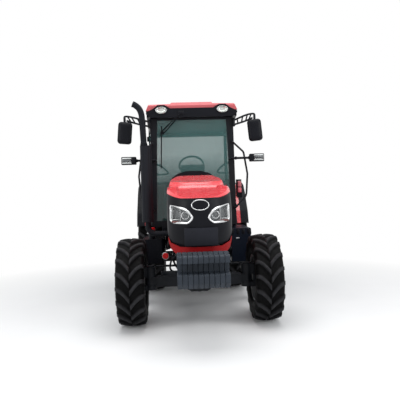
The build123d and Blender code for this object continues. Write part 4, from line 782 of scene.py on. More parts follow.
def closed_curve(points, count):
    """Closed Catmull-Rom curve through points, sampled evenly in its parameter."""
    p = np.asarray(points, float)
    t = np.arange(count) * len(p) / count
    i = t.astype(int)
    u = (t - i)[:, None]
    a, b, c, d = (p[(i + k - 1) % len(p)] for k in range(4))
    return 0.5 * (2 * b + (c - a) * u + (2 * a - 5 * b + 4 * c - d) * u**2 + (3 * b - a - 3 * c + d) * u**3)


def laid_ring(face, outline, section, centre):
    """Grid of a moulding laid on a face: at each point of an outline in (X, Z) a section of
    (inset towards the centre, height off the face)."""
    section = np.asarray(section, float)
    inward = np.asarray(centre, float) - outline
    inward /= np.linalg.norm(inward, axis=1, keepdims=True)
    xz = outline[None] + section[:, 0][:, None, None] * inward[None]
    y = face(outline[:, 0], outline[:, 1])[None] - section[:, 1][:, None] + 0 * xz[..., 0]
    return np.stack([xz[..., 0], y, xz[..., 1]], -1)


# outline of the left headlamp: X, Z
HEADLAMP = [
    (0.074, 1.258), (0.091, 1.296), (0.118, 1.330), (0.158, 1.355), (0.215, 1.369), (0.286, 1.385),
    (0.301, 1.377), (0.303, 1.320), (0.305, 1.250), (0.298, 1.222), (0.264, 1.203), (0.200, 1.198),
    (0.130, 1.197), (0.098, 1.215), (0.080, 1.237),
]


def build_nose():
    """Oval ring, bare plate and the insides of the headlamps."""
    face = front_fit("hood_mask")
    angle = circle(64)
    oval = np.stack([0.090 * np.cos(angle), 1.381 + 0.055 * np.sin(angle)], -1)
    ring = Sheets()
    section = [(0.0, 0.0), (0.001, 0.006), (0.005, 0.0085), (0.009, 0.006), (0.010, 0.002)]
    ring.skin(laid_ring(face, oval, section, (0, 1.381)))
    ring.build("nose_ring", "hood", ["chrome"], "lamp_chrome")
    plate = Sheets()
    grow = np.linspace(0, 1, 6)[:, None, None]
    inner = oval[None] * (1 - grow) + np.array([0, 1.381]) * grow
    y = face(inner[..., 0], inner[..., 1]) - 0.003
    plate.skin(np.stack([inner[..., 0], y, inner[..., 1]], -1))
    plate.build("nose_oval", "hood", ["mask_plastic"], "mask_black")

    low, high = 0.982, 1.157
    middle = np.array([0, (low + high) / 2])
    y = face(0.0, 1.15) - 0.014
    board = rounded_block((0, y, middle[1]), (0.165, 0.004, (high - low) / 2), 0.003, steps=3)
    board = Sheets().solid(board)
    for x in (-0.09, 0.09):
        stud = turned(
            "y", [(-0.008, 0.0), (-0.008, 0.006), (-0.003, 0.008), (0.030, 0.008)], (x, y, high - 0.03), 16
        )
        board.skin(stud)
    board.build("bare_plate", "hood", ["plate"], "trim_black")

    for side, label in SIDES:
        outline = closed_curve(HEADLAMP, 96) * np.array([side, 1])
        centre = np.array([side * 0.195, 1.285])
        t = np.linspace(0, 1, 14)[:, None, None]
        spot = outline[None] * (1 - t) * 0.985 + (0.015 + 0.985 * t) * centre
        sink = 0.034 * np.minimum(1, t[..., 0] * 5) + 0 * spot[..., 0]
        y = face(spot[..., 0], spot[..., 1]) + 0.012 + sink
        tray = Sheets().skin(np.stack([spot[..., 0], y, spot[..., 1]], -1))
        tray.build(f"headlamp_tray_{label}", "hood", ["mask_plastic"], "lamp_body")

        # bright moulding over the edge: share of the way inwards, height off the face
        band = [
            (-0.001, -0.002), (0.001, 0.004), (0.005, 0.006), (0.016, 0.0055), (0.021, 0.001),
            (0.022, -0.008),
        ]
        edge = Sheets().skin(laid_ring(face, outline, band, centre), flip=side < 0)
        piece = edge.build(f"headlamp_edge_{label}", "hood", ["chrome"], "lamp_chrome")
        if side < 0:
            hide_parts("headlamp_bezels")

        bright = Sheets()
        x, z = side * 0.150, 1.280
        y = float(face(x, z)) + 0.014
        rim = [(0.03, 0.040), (0.004, 0.040), (0.0, 0.037), (0.002, 0.033), (0.028, 0.026), (0.030, 0.0)]
        bright.skin(turned("y", rim, (x, y, z)))
        for x0, x1, z0, z1 in (
            (0.196, 0.201, 1.226, 1.352), (0.196, 0.276, 1.238, 1.243), (0.276, 0.281, 1.238, 1.362)
        ):
            mx, mz = side * (x0 + x1) / 2, (z0 + z1) / 2
            bar = rounded_block(
                (mx, float(face(mx, mz)) + 0.026, mz), ((x1 - x0) / 2, 0.012, (z1 - z0) / 2), 0.002, 3
            )
            bright.solid(bar)
        bright.build(f"headlamp_frames_{label}", "hood", ["chrome"], "lamp_chrome")

        dome = Sheets()
        a = np.linspace(0, math.pi / 2, 9)
        profile = np.stack([0.018 - 0.016 * np.sin(a), 0.026 * np.cos(a)], -1)
        dome.skin(turned("y", profile, (x, y, z)))
        mx, mz = side * 0.238, 1.297
        module = rounded_block((mx, float(face(mx, mz)) + 0.032, mz), (0.028, 0.010, 0.040), 0.008, 4)
        dome.solid(module)
        dome.build(f"headlamp_units_{label}", "hood", ["lamp_dark"], "lamp_glass")

        mx, mz = side * 0.225, 1.219
        strip = rounded_block((mx, float(face(mx, mz)) + 0.028, mz), (0.062, 0.010, 0.010), 0.003, 3)
        strip = Sheets().solid(strip)
        strip.build(f"headlamp_strip_{label}", "hood", ["amber_lens"], "lamp_red")


# ---------------------------------------------------------------- windscreen fittings
def build_wiper():
    """Wiper: two parallel rods from the visor to a near-upright blade beside the pillar."""
    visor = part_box("headliner")[0].y
    glass = front_fit("windscreen")
    start = [(-0.120, 2.546), (-0.160, 2.528)]
    end = [(-0.380, 2.292), (-0.412, 2.310)]
    rods = Sheets()
    for (x0, z0), (x1, z1) in zip(start, end):
        t = np.linspace(0, 1, 16)
        x, z = x0 + (x1 - x0) * t, z0 + (z1 - z0) * t
        y0 = visor - 0.010
        y1 = float(glass(x1, z1)) - 0.026
        y = y0 + (y1 - y0) * t**1.5
        rods.solid(tube_along(np.stack([x, y, z], -1), 0.0075, 10, (0, 1, 0)))
    rods.solid(rounded_block((-0.140, visor - 0.006, 2.545), (0.038, 0.010, 0.020), 0.007, 4))
    t = np.linspace(0, 1, 16)
    x, z = -0.398 - 0.022 * t, 2.40 - 0.56 * t
    y = glass(x, z) - 0.016
    rods.solid(tube_along(np.stack([x, y, z], -1), 0.007, 10, (0, 1, 0)))
    rods.solid(
        rounded_block((-0.392, float(glass(-0.392, 2.306)) - 0.024, 2.306), (0.022, 0.012, 0.020), 0.006, 4)
    )
    rods.build("wiper", "chassis", ["black_trim"], "trim_black")


# ---------------------------------------------------------------- inside the cab
def build_cab_inside():
    """Steering wheel with a thick rim and three spokes, and a handle on each front pillar."""
    low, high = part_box("steering_wheel")
    centre = np.array((low + high) / 2)
    radius = (high.x - low.x) / 2 - 0.015
    a = circle(64)
    along, across = np.array([1.0, 0, 0]), np.array([0, -1.0, 1.0]) / math.sqrt(2)
    axis = np.array([0, 1.0, 1.0]) / math.sqrt(2)
    b = circle(14)
    # rim: the circle R (cos a, sin a) in the wheel's plane carries a small circle, half as thick
    # as the rim
    out = np.cos(a)[:, None] * along + np.sin(a)[:, None] * across
    thick = 0.0145
    reach = (radius + thick * np.cos(b))[None, :, None]
    ring = out[:, None] * reach + thick * np.sin(b)[None, :, None] * axis
    wheel = Sheets().add(ring + centre, wrap_rows=True, wrap_columns=True, flip=True)
    sink = centre - axis * 0.030
    for turn in (-0.52, math.pi / 2 * 3, math.pi + 0.52):
        tip = centre + radius * (math.cos(turn) * along + math.sin(turn) * across)
        t = np.linspace(0, 1, 12)[:, None]
        path = sink * (1 - t) + tip * t - axis * 0.010 * np.sin(math.pi * t)
        wheel.solid(tube_along(path, 0.0095, 10, (1, 0.3, 0.2)))
    hub = [(-0.045, 0.020), (-0.040, 0.038), (-0.010, 0.046), (0.002, 0.040), (0.006, 0.022)]
    p = np.asarray(hub)
    disc = p[:, 0][:, None, None] * axis + p[:, 1][:, None, None] * out[None]
    wheel.solid(disc + sink + axis * 0.012, flip=True)
    piece = wheel.build("steering_wheel_rim", "chassis", ["black_trim"], "wheel_black")
    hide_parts("steering_wheel")

    for side, label in SIDES:
        points = [
            (0.525, 0.020, 1.900), (0.450, 0.030, 1.897), (0.375, 0.050, 1.840), (0.338, 0.060, 1.795),
            (0.362, 0.060, 1.772), (0.450, 0.045, 1.771), (0.525, 0.030, 1.772),
        ]
        path = smooth_path(np.array(points) * [side, 1, 1], 48)
        handle = Sheets().solid(tube_along(path, 0.0130, 12, (0.1, 1, 0.1)))
        handle.build(f"pillar_handle_{label}", "chassis", ["black_trim"], "trim_black")


def swollen(piece, pressure, cap):
    """Blows a closed piece up by cloth pressure, with no point moving further than the cap."""
    scene = bpy.context.scene
    remesh = piece.modifiers.new("voxels", "REMESH")
    remesh.mode = "VOXEL"
    remesh.voxel_size = 0.006
    mesh = bpy.data.meshes.new_from_object(piece.evaluated_get(bpy.context.evaluated_depsgraph_get()))
    piece.modifiers.clear()
    piece.data = mesh
    start = np.zeros(len(mesh.vertices) * 3)
    mesh.vertices.foreach_get("co", start)
    start = start.reshape(-1, 3)
    cloth = piece.modifiers.new("cloth", "CLOTH")
    cloth.settings.use_pressure = True
    cloth.settings.uniform_pressure_force = pressure
    cloth.settings.effector_weights.gravity = 0
    for frame_number in range(1, 21):
        scene.frame_set(frame_number)
    moved = bpy.data.meshes.new_from_object(piece.evaluated_get(bpy.context.evaluated_depsgraph_get()))
    end = np.zeros(len(moved.vertices) * 3)
    moved.vertices.foreach_get("co", end)
    bpy.data.meshes.remove(moved)
    piece.modifiers.clear()
    scene.frame_set(1)
    step = end.reshape(-1, 3) - start
    length = np.linalg.norm(step, axis=1, keepdims=True)
    return start, start + step * np.minimum(1, cap / np.maximum(length, 1e-9))


def build_seat():
    """Seat cushion and backrest, swollen by cloth pressure, with two sewn channels each."""
    low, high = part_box("seat_cushions")
    split = low.y + 0.440
    # name, middle, half size, corner radius, lean about X
    pads = [
        ("seat_pad", (0, (low.y + split) / 2, low.z + 0.047), (0.222, 0.208, 0.032), 0.030, 0.0),
        (
            "seat_back", (0, (split + high.y) / 2 + 0.004, (low.z + high.z) / 2 + 0.006),
            (0.202, 0.026, 0.238), 0.025, 0.095,
        ),
    ]
    for name, middle, half, radius, lean in pads:
        block = rounded_block((0, 0, 0), half, radius, 6)
        y = block[..., 1] * math.cos(lean) + block[..., 2] * math.sin(lean)
        z = block[..., 2] * math.cos(lean) - block[..., 1] * math.sin(lean)
        grid = np.stack([block[..., 0], y, z], -1) + np.array(middle)
        pad = Sheets().solid(grid).build(name, "chassis", ["seat_cloth"], "seat_fabric")
        start, shape = swollen(pad, 4.0, 0.013)
        # sewn channels: exp(-(d / w)^2) deep along two lines
        groove = sum(np.exp(-(((shape[:, 0] - line) / 0.007) ** 2)) for line in (-0.115, 0.115))
        inward = np.array(middle) - shape
        inward[:, 0] = 0
        inward /= np.maximum(np.linalg.norm(inward, axis=1, keepdims=True), 1e-9)
        shape = shape + 0.006 * groove[:, None] * inward
        pad.data.vertices.foreach_set("co", shape.astype(np.float32).reshape(-1))
        pad.data.materials.clear()
        pad.data.materials.append(MATERIALS["seat_cloth"])
        pad.data.polygons.foreach_set("use_smooth", [True] * len(pad.data.polygons))
        pad.data.update()
        smooth = pad.modifiers.new("smooth", "SUBSURF")
        smooth.levels = smooth.render_levels = 1
        if name == "seat_pad":
            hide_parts("seat_cushions")


# ---------------------------------------------------------------- outside fittings
def build_mirrors():
    """Mirror heads as rounded shells that lean in at the top, each on a braced double arm."""
    low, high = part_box("mirror_heads")
    width, height = 0.182, high.z - low.z - 0.008
    middle_z = (low.z + high.z) / 2
    depth = high.y - low.y
    # inset from the outline, share of the depth behind the front
    shell = [
        (0.075, 0.0), (0.045, 0.02), (0.022, 0.10), (0.008, 0.25), (0.0, 0.5), (0.0, 0.9), (0.006, 1.0),
        (0.016, 1.0),
    ]
    for (side, label), inboard in zip(SIDES, (-0.004, 0.044)):
        centre = (side * (high.x - width / 2 - 0.013 - inboard), low.y, middle_z)
        lean = -side * math.radians(5.0)
        profile = [(inset, share * depth) for inset, share in shell]
        head = Sheets().solid(leaned(pillow(width / 2, height / 2, 0.042, profile), centre, lean))
        profile = [(0.016, depth - 0.004), (0.016, depth + 0.0005), (0.018, depth + 0.0015)]
        pane = pillow(width / 2, height / 2, 0.042, profile)
        head.solid(leaned(pane, centre, lean), finish=1)
        first = head.build(f"mirror_{label}", "chassis", ["black_trim", "mirror"], "trim_black")
        if side < 0:
            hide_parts("mirror_heads")

        arm_low, arm_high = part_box("mirror_arms")
        y = (arm_low.y + arm_high.y) / 2
        root = side * 0.560
        tip = side * (high.x - width / 2 - 0.020 - inboard)
        z_tip = arm_high.z - 0.010
        upper = [
            (root, y, z_tip - 0.075), (tip - side * 0.10, y, z_tip - 0.012), (tip, y, z_tip),
            (tip + side * 0.006, y, z_tip - 0.05),
        ]
        lower = [
            (root, y, z_tip - 0.135), (root + (tip - root) * 0.55, y, z_tip - 0.092),
            (tip - side * 0.02, y, z_tip - 0.052),
        ]
        rails = [smooth_path(upper, 28), smooth_path(lower, 20)]
        arm = Sheets()
        for path in rails:
            arm.solid(tube_along(path, 0.0125, 10, (0, 1, 0)))
        for share in (0.16, 0.36, 0.56, 0.78):
            i, j = int(share * 18), int(share * 19)
            arm.solid(rod(rails[0][i], rails[1][j], 0.0095, 8))
        profile = [(-0.105, 0.013), (-0.045, 0.016), (-0.005, 0.016), (0.004, 0.010)]
        arm.solid(turned("z", profile, (tip + side * 0.006, y, z_tip - 0.012), 20))
        foot = (root - side * 0.008, y, z_tip - 0.105)
        arm.solid(rounded_block(foot, (0.014, 0.026, 0.055), 0.008, 3))
        arm.build(f"mirror_arm_{label}", "chassis", ["cab_paint"], "frame_black")
        if side < 0:
            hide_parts("mirror_arms")


def build_side_lamps():
    """Side lamps: dark inner cap, grey ribbed body between bright bands, and a thick stalk."""
    low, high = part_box("side_lamps")
    y, z = low.y + 0.035, 1.945
    # from X, to X, half height, half depth, height offset, finish
    blocks = [
        (0.733, 0.790, 0.050, 0.036, 0.0, 0), (0.780, 0.9245, 0.051, 0.028, 0.0, 0),
        (0.790, 0.914, 0.0100, 0.034, 0.029, 1), (0.790, 0.914, 0.0075, 0.034, -0.031, 1),
        (0.792, 0.910, 0.0110, 0.031, 0.004, 2), (0.903, 0.917, 0.038, 0.033, 0.0, 1),
        (0.796, 0.900, 0.0035, 0.034, 0.003, 0), (0.796, 0.900, 0.0030, 0.034, -0.016, 1),
    ]
    for side, label in SIDES:
        lamp = Sheets()
        for x0, x1, tall, deep, rise, finish in blocks:
            radius = min(tall, 0.014) * 0.8
            half = ((x1 - x0) / 2, deep, tall)
            block = rounded_block((side * (x0 + x1) / 2, y, z + rise), half, radius, 4)
            lamp.solid(block, finish=finish)
        piece = lamp.build(
            f"side_lamp_{label}", "chassis", ["black_trim", "lamp_silver", "dark_metal"], "lamp_body"
        )
        path = smooth_path(
            [(side * 0.50, high.y, z), (side * 0.50, y + 0.02, z), (side * 0.53, y, z), (side * 0.745, y, z)],
            24,
        )
        stalk = Sheets().solid(tube_along(path, 0.0155, 14))
        for x in (0.556, 0.728):
            stalk.solid(rounded_block((side * x, y, z), (0.012, 0.021, 0.021), 0.008, 4))
        stalk.build(f"side_lamp_stalk_{label}", "chassis", ["black_trim"], "trim_black")
        if side < 0:
            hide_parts("side_lamps")


def build_exhaust():
    """Upright exhaust pipe that bends outwards below the roof, with a clamp at its foot."""
    low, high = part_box("exhaust_pipe")
    y = (low.y + high.y) / 2
    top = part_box("muffler")[1].z
    points = [
        (-0.618, y, low.z - 0.02), (-0.622, y, 2.200), (-0.627, y, 2.330), (-0.631, y, 2.440),
        (-0.640, y, 2.520), (-0.668, y, 2.585), (-0.712, y, 2.625), (-0.744, y, 2.640),
    ]
    path = smooth_path(points, 80)
    radius = np.full(len(path), 0.038)
    radius[-2:] = 0.040
    outer = tube_along(path, radius, 32, (0, 1, 0))
    inner = tube_along(path[20:], 0.034, 32, (0, 1, 0))
    pipe = Sheets().skin(outer)
    pipe.skin(inner[::-1])
    pipe.skin(np.stack([outer[-1], inner[-1]]))
    for z, r in ((top + 0.012, 0.046), (top + 0.030, 0.043)):
        band = [(-0.008, r - 0.006), (-0.008, r), (0.008, r), (0.008, r - 0.006)]
        pipe.skin(turned("z", band, (-0.619, y, z)))
    piece = pipe.build("exhaust_stack", "chassis", ["exhaust"], "exhaust_black")
    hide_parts("exhaust_pipe")


def build_fenders():
    """Rear fenders with a dark outer band beside the flares, and lenses on their lamps."""
    piece = dressed("rear_fenders", 0.003)
    mesh = piece.data
    mesh.materials.append(MATERIALS["black_trim"])
    work = bmesh.new()
    work.from_mesh(mesh)
    for x in (-0.700, 0.700):
        bmesh.ops.bisect_plane(
            work, geom=work.verts[:] + work.edges[:] + work.faces[:], plane_co=(x, 0, 0),
            plane_no=(1, 0, 0),
        )
    for face in work.faces:
        face.material_index = int(abs(face.calc_center_median().x) > 0.700)
    work.to_mesh(mesh)
    work.free()

    low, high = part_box("fender_lamps")
    for side, label in SIDES:
        glow = Sheets()
        x = side * (high.x - 0.038)
        for z0, z1, finish in ((1.500, 1.572, 1), (1.582, 1.672, 0)):
            dome = [(0.0, 0.0), (0.0, -0.006), (0.004, -0.010), (0.012, -0.012)]
            lens = pillow(0.028, (z1 - z0) / 2, 0.010, dome)
            glow.solid(lens + np.array([x, low.y, (z0 + z1) / 2]), finish=finish)
        glow.build(f"fender_lens_{label}", "chassis", ["pink_lens", "red_lens"], "lamp_red")

        tail = Sheets()
        x, z = side * 0.610, 1.270
        y = struck("rear_fenders", (x, 2.6, z), (0, -1, 0)).y
        tail.solid(rounded_block((x, y + 0.014, z), (0.062, 0.024, 0.080), 0.008, 4))
        for rise, tall, finish in ((0.030, 0.038, 1), (-0.044, 0.026, 2)):
            lens = rounded_block((x, y + 0.036, z + rise), (0.052, 0.009, tall), 0.006, 4)
            tail.solid(lens, finish=finish)
        tail.build(f"tail_lamp_{label}", "chassis", ["black_trim", "tail_lens", "red_lens"], "lamp_red")


def build_engine_bay():
    """What shows beside the engine: filter lid, filler neck, hoses, fittings and a latch."""
    low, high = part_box("oil_filter")
    x, z = low.x + 0.044, (low.z + high.z) / 2
    lid = Sheets()
    rim = [(0.012, 0.0445), (-0.003, 0.0445), (-0.006, 0.042), (-0.006, 0.036)]
    cap = [(-0.004, 0.037), (-0.010, 0.034), (-0.012, 0.026), (-0.010, 0.012), (-0.013, 0.0)]
    lid.skin(turned("y", rim, (x, low.y, z)), finish=1)
    lid.skin(turned("y", cap, (x, low.y, z)))
    lid.build("filter_lid", "chassis", ["cap_red", "dark_metal"], "cap_red")

    low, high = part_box("fuel_cap")
    c = ((low.x + high.x) / 2, (low.y + high.y) / 2, 0)
    profile = [(0.996, 0.062), (1.004, 0.062), (1.008, 0.048), (1.034, 0.046), (1.038, 0.053), (1.048, 0.053)]
    neck = Sheets().skin(turned("z", profile, c))
    neck.build("filler_neck", "chassis", ["steel"], "rod_steel")

    # radius, points
    runs = [
        (0.015, [(-0.20, -0.62, 1.02), (-0.27, -0.66, 0.98), (-0.33, -0.62, 0.93), (-0.36, -0.45, 0.86),
                 (-0.35, -0.25, 0.80)]),
        (0.012, [(-0.19, -0.90, 0.93), (-0.26, -0.92, 0.86), (-0.29, -0.88, 0.74), (-0.24, -0.84, 0.63),
                 (-0.16, -0.80, 0.60)]),
        (0.011, [(-0.22, -0.98, 0.80), (-0.30, -0.98, 0.76), (-0.33, -0.93, 0.66), (-0.30, -0.86, 0.60),
                 (-0.20, -0.80, 0.59)]),
        (0.012, [(0.20, -0.90, 0.92), (0.28, -0.90, 0.84), (0.31, -0.86, 0.72), (0.27, -0.82, 0.62),
                 (0.18, -0.80, 0.60)]),
        (0.010, [(0.21, -0.75, 0.98), (0.33, -0.70, 0.94), (0.38, -0.50, 0.90), (0.38, -0.22, 0.88)]),
        (0.011, [(-0.30, -0.40, 0.98), (-0.37, -0.36, 1.02), (-0.40, -0.24, 1.03), (-0.37, -0.10, 1.02)]),
    ]
    hoses = Sheets()
    for radius, points in runs:
        hoses.solid(tube_along(smooth_path(points, 40), radius, 12, (0.3, 1, 0.2)))
    hoses.build("hoses", "chassis", ["black_trim"], "trim_black")

    # middle, half size, edge radius: shield under the scuttle, filter bracket, clamp plate
    blocks = [
        ((-0.335, -0.182, 1.075), (0.095, 0.005, 0.085), 0.004),
        ((-0.300, -0.745, 0.735), (0.105, 0.022, 0.030), 0.010),
        ((-0.235, -0.790, 0.860), (0.045, 0.030, 0.045), 0.012),
    ]
    plates = Sheets()
    for middle, half, radius in blocks:
        plates.solid(rounded_block(middle, half, radius, 4))
    plates.build("engine_brackets", "chassis", ["black_trim"], "trim_black")
    fittings = Sheets().solid(rod((-0.300, -0.885, 0.793), (-0.245, -0.885, 0.800), 0.012))
    fittings.solid(rod((-0.150, -0.985, 0.601), (0.060, -0.985, 0.601), 0.013))
    fittings.build("fittings", "chassis", ["steel"], "rod_steel")
    jack = Sheets().solid(rod((-0.430, -0.985, 0.600), (-0.145, -0.985, 0.600), 0.027, 24))
    for x in (-0.425, -0.150):
        jack.solid(rod((x - 0.010, -0.985, 0.600), (x + 0.010, -0.985, 0.600), 0.031, 24))
    jack.build("steering_jack", "chassis", ["cast_paint"], "cast_dark")

    low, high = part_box("battery_box")
    block = rounded_block((low.x + 0.10, low.y - 0.004, 0.900), (0.024, 0.006, 0.010), 0.004, 4)
    latch = Sheets().solid(block)
    latch.build("box_latch", "chassis", ["steel"], "rod_steel")
    ribs = Sheets()
    for x in np.linspace(low.x + 0.035, high.x - 0.035, 4):
        ribs.solid(rounded_block((x, low.y + 0.006, 0.985), (0.018, 0.012, 0.034), 0.006, 3))
    ribs.build("box_lid_ribs", "chassis", ["black_trim"], "trim_black")


def build_work_lamps():
    """Oval work lamps: bright rim, dished reflector and a clear cover."""
    low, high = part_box("work_lamps")
    angle = circle(48)
    for side, label in SIDES:
        for place, y, ahead, z, size in (
            ("front", low.y, -1, 2.580, (0.073, 0.043)), ("rear", high.y, 1, 2.540, (0.070, 0.034))
        ):
            c = np.array([side * 0.395, y, z])
            # share of the oval, distance behind its front
            rim = [(1.0, 0.026), (1.0, 0.004), (0.96, 0.0), (0.90, 0.001), (0.86, 0.005)]
            bowl = [(0.86, 0.005), (0.72, 0.016), (0.45, 0.024), (0.16, 0.026), (0.02, 0.020)]
            cover = [(0.86, 0.004), (0.6, 0.001), (0.3, -0.001), (0.02, -0.002)]
            lamp = Sheets()
            for finish, profile in enumerate((rim, bowl, cover)):
                p = np.asarray(profile)
                x = p[:, 0][:, None] * size[0] * np.cos(angle)[None]
                zz = p[:, 0][:, None] * size[1] * np.sin(angle)[None]
                yy = -ahead * p[:, 1][:, None] + 0 * x
                grid = np.stack([x, yy, zz], -1) + c
                lamp.skin(grid, finish=finish, flip=ahead > 0)
            piece = lamp.build(
                f"work_lamp_{place}_{label}", "chassis", ["lamp_silver", "lamp_bowl", "lens"],
                "lamp_chrome",
            )
            if side < 0 and place == "front":
                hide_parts("work_lamps")


# ---------------------------------------------------------------- stage
def build_floor():
    """Pale floor that fades to white away from the tractor."""
    s = Shader("Pale studio floor")
    s.tree.nodes.remove(s.main)
    place = s.axes()
    far = s.maths(
        "SQRT", s.maths("ADD", s.maths("POWER", place["X"], 2.0), s.maths("POWER", place["Y"], 2.0))
    )
    matt = s.add("ShaderNodeBsdfDiffuse")
    s.link(s.blend(s.noise(1.5, 3), (0.86, 0.86, 0.86), (0.90, 0.90, 0.90)), matt.inputs["Color"])
    glow = s.add("ShaderNodeEmission")
    glow.inputs["Strength"].default_value = 1.0
    amount = s.maths("MULTIPLY", s.seen(), s.spread(far, 2.2, 5.0, 0, 1))
    s.mixed(amount, matt.outputs[0], glow.outputs[0], s.out.inputs["Surface"])
    reach = 60.0
    corners = [(-reach, -reach, 0), (reach, -reach, 0), (-reach, reach, 0), (reach, reach, 0)]
    mesh = bpy.data.meshes.new("studio_floor")
    mesh.from_pydata(corners, [], [(0, 1, 3, 2)])
    mesh.materials.append(s.material)
    floor = placed("studio_floor", mesh)


def build_world():
    """Soft bluish fill that shows as plain white."""
    world = bpy.data.worlds.new("Soft studio")
    world.use_nodes = True
    w = Nodes(world.node_tree)
    out = w.add("ShaderNodeOutputWorld")
    shades = []
    for colour, strength in (((0.94, 0.97, 1.0, 1), 0.55), ((1, 1, 1, 1), 1.0)):
        shade = w.add("ShaderNodeBackground")
        shade.inputs["Color"].default_value = colour
        shade.inputs["Strength"].default_value = strength
        shades.append(shade.outputs[0])
    w.mixed(w.seen(), *shades, out.inputs["Surface"])
    bpy.context.scene.world = world


def build_lights():
    """One soft box above and one on each side ahead."""
    # name, place, aimed at, size, power
    lamps = (
        ("soft_box_above", (0.0, -1.2, 6.5), (0, 0, 1.2), (6, 5), 270),
        ("soft_box_left", (-5.5, -5.0, 3.8), (0, -0.6, 1.2), (3, 4), 130),
        ("soft_box_right", (5.5, -5.0, 3.8), (0, -0.6, 1.2), (3, 4), 150),
    )
    for name, place, aim, size, power in lamps:
        data = bpy.data.lights.new(name, "AREA")
        data.shape = "RECTANGLE"
        data.size, data.size_y = size
        data.energy = power
        lamp = placed(name, data)
        lamp.location = place
        lamp.rotation_mode = "QUATERNION"
        lamp.rotation_quaternion = (Vector(aim) - Vector(place)).to_track_quat("-Z", "Y")


def build_camera():
    """Camera ahead of the tractor, a little to its right and slightly rolled."""
    yaw, pitch, roll = (math.radians(a) for a in (2.77, -0.64, -1.78))
    ahead = Vector((math.sin(yaw) * math.cos(pitch), math.cos(yaw) * math.cos(pitch), math.sin(pitch)))
    level = Vector((math.cos(yaw), -math.sin(yaw), 0))
    over = level.cross(ahead)
    right = math.cos(roll) * level + math.sin(roll) * over
    up = -math.sin(roll) * level + math.cos(roll) * over
    data = bpy.data.cameras.new("camera")
    data.sensor_width = 36
    data.lens = 43.04
    camera = placed("camera", data)
    turn = Matrix((right, up, -ahead)).transposed().to_4x4()
    camera.matrix_world = Matrix.Translation((-0.228, -6.439, 1.483)) @ turn
    bpy.context.scene.camera = camera
    bpy.context.scene.view_settings.view_transform = "Standard"


# ---------------------------------------------------------------- operators
def apply_finishes():
    """Gives every CAD node its finish."""
    make_materials()
    for name, node in NODES.items():
        node.data.materials.clear()
        node.data.materials.append(MATERIALS[NODE_FINISH[name]])


def round_edges():
    """Rounded copies of the hard-edged CAD nodes."""
    # node, edge radius, record slot
    table = (
        ("front_weights", 0.006, "weight_slate"), ("battery_box", 0.006, "trim_black"),
        ("fuel_tank", 0.006, "trim_black"), ("front_axle", 0.004, "cast_dark"),
        ("front_support", 0.004, "cast_dark"), ("rear_axle", 0.004, "cast_dark"),
        ("roof_shell", 0.005, "roof_red"), ("steps", 0.002, "frame_black"),
    )
    for node, width, slot in table:
        dressed(node, width)


class Step:
    """One step of the work: its operator runs its functions in turn."""

    def execute(self, context):
        for run in self.runs:
            run()
        return {"FINISHED"}


class TRACTOR_OT_finishes(Step, bpy.types.Operator):
    """Make the finishes and put them on the frame"""

    bl_idname = "tractor.finishes"
    bl_label = "Finishes"
    runs = (apply_finishes,)


class TRACTOR_OT_edges(Step, bpy.types.Operator):
    """Round the edges of castings and boxes"""

    bl_idname = "tractor.edges"
    bl_label = "Rounded edges"
    runs = (round_edges,)


class TRACTOR_OT_tyres(Step, bpy.types.Operator):
    """Build the lugged tyres, the hub caps and the wheel nuts"""

    bl_idname = "tractor.tyres"
    bl_label = "Tyres"
    runs = (build_tyres, build_wheel_fittings)


class TRACTOR_OT_nose(Step, bpy.types.Operator):
    """Build the oval ring, the bare plate and the headlamps' insides"""

    bl_idname = "tractor.nose"
    bl_label = "Nose"
    runs = (build_nose,)


class TRACTOR_OT_wiper(Step, bpy.types.Operator):
    """Build the wiper"""

    bl_idname = "tractor.wiper"
    bl_label = "Wiper"
    runs = (build_wiper,)


class TRACTOR_OT_inside(Step, bpy.types.Operator):
    """Build the steering wheel, the pillar handles and the seat"""

    bl_idname = "tractor.inside"
    bl_label = "Cab inside"
    runs = (build_cab_inside, build_seat)


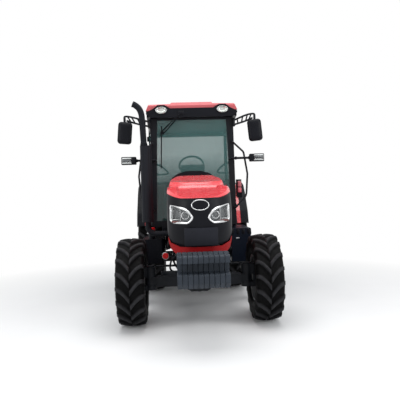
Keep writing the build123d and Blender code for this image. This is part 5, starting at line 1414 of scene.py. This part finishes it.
class TRACTOR_OT_outside(Step, bpy.types.Operator):
    """Build the mirrors, lamps, exhaust pipe and fender bands"""

    bl_idname = "tractor.outside"
    bl_label = "Mirrors and lamps"
    runs = (build_mirrors, build_side_lamps, build_work_lamps, build_exhaust, build_fenders)


class TRACTOR_OT_engine_bay(Step, bpy.types.Operator):
    """Build the filter lid, the filler neck, the hoses and the box fittings"""

    bl_idname = "tractor.engine_bay"
    bl_label = "Engine bay"
    runs = (build_engine_bay,)


class TRACTOR_OT_stage(Step, bpy.types.Operator):
    """Build the floor, the lights and the camera"""

    bl_idname = "tractor.stage"
    bl_label = "Stage"
    runs = (build_floor, build_world, build_lights, build_camera)


STEPS = (
    TRACTOR_OT_finishes, TRACTOR_OT_edges, TRACTOR_OT_tyres, TRACTOR_OT_nose, TRACTOR_OT_wiper,
    TRACTOR_OT_inside, TRACTOR_OT_outside, TRACTOR_OT_engine_bay, TRACTOR_OT_stage,
)


class TRACTOR_PT_panel(bpy.types.Panel):
    """The tractor's pieces and settings"""

    bl_label = "Farm tractor"
    bl_idname = "TRACTOR_PT_panel"
    bl_space_type = "VIEW_3D"
    bl_region_type = "UI"
    bl_category = "Tractor"

    def draw(self, context):
        for group in (context.scene.tractor_colours, context.scene.tractor_tyres):
            for name in group.bl_rna.properties.keys():
                if name not in ("rna_type", "name"):
                    self.layout.prop(group, name)
        for step in STEPS:
            self.layout.operator(step.bl_idname)


CLASSES = (TractorColours, TractorTyres, *STEPS, TRACTOR_PT_panel)


def register():
    for item in CLASSES:
        bpy.utils.register_class(item)
    bpy.types.Scene.tractor_colours = bpy.props.PointerProperty(type=TractorColours)
    bpy.types.Scene.tractor_tyres = bpy.props.PointerProperty(type=TractorTyres)


def unregister():
    del bpy.types.Scene.tractor_tyres
    del bpy.types.Scene.tractor_colours
    for item in reversed(CLASSES):
        bpy.utils.unregister_class(item)


def main():
    register()
    for step in STEPS:
        name = step.bl_idname.split(".")[1]
        getattr(bpy.ops.tractor, name)()


if __name__ == "__main__":
    main()
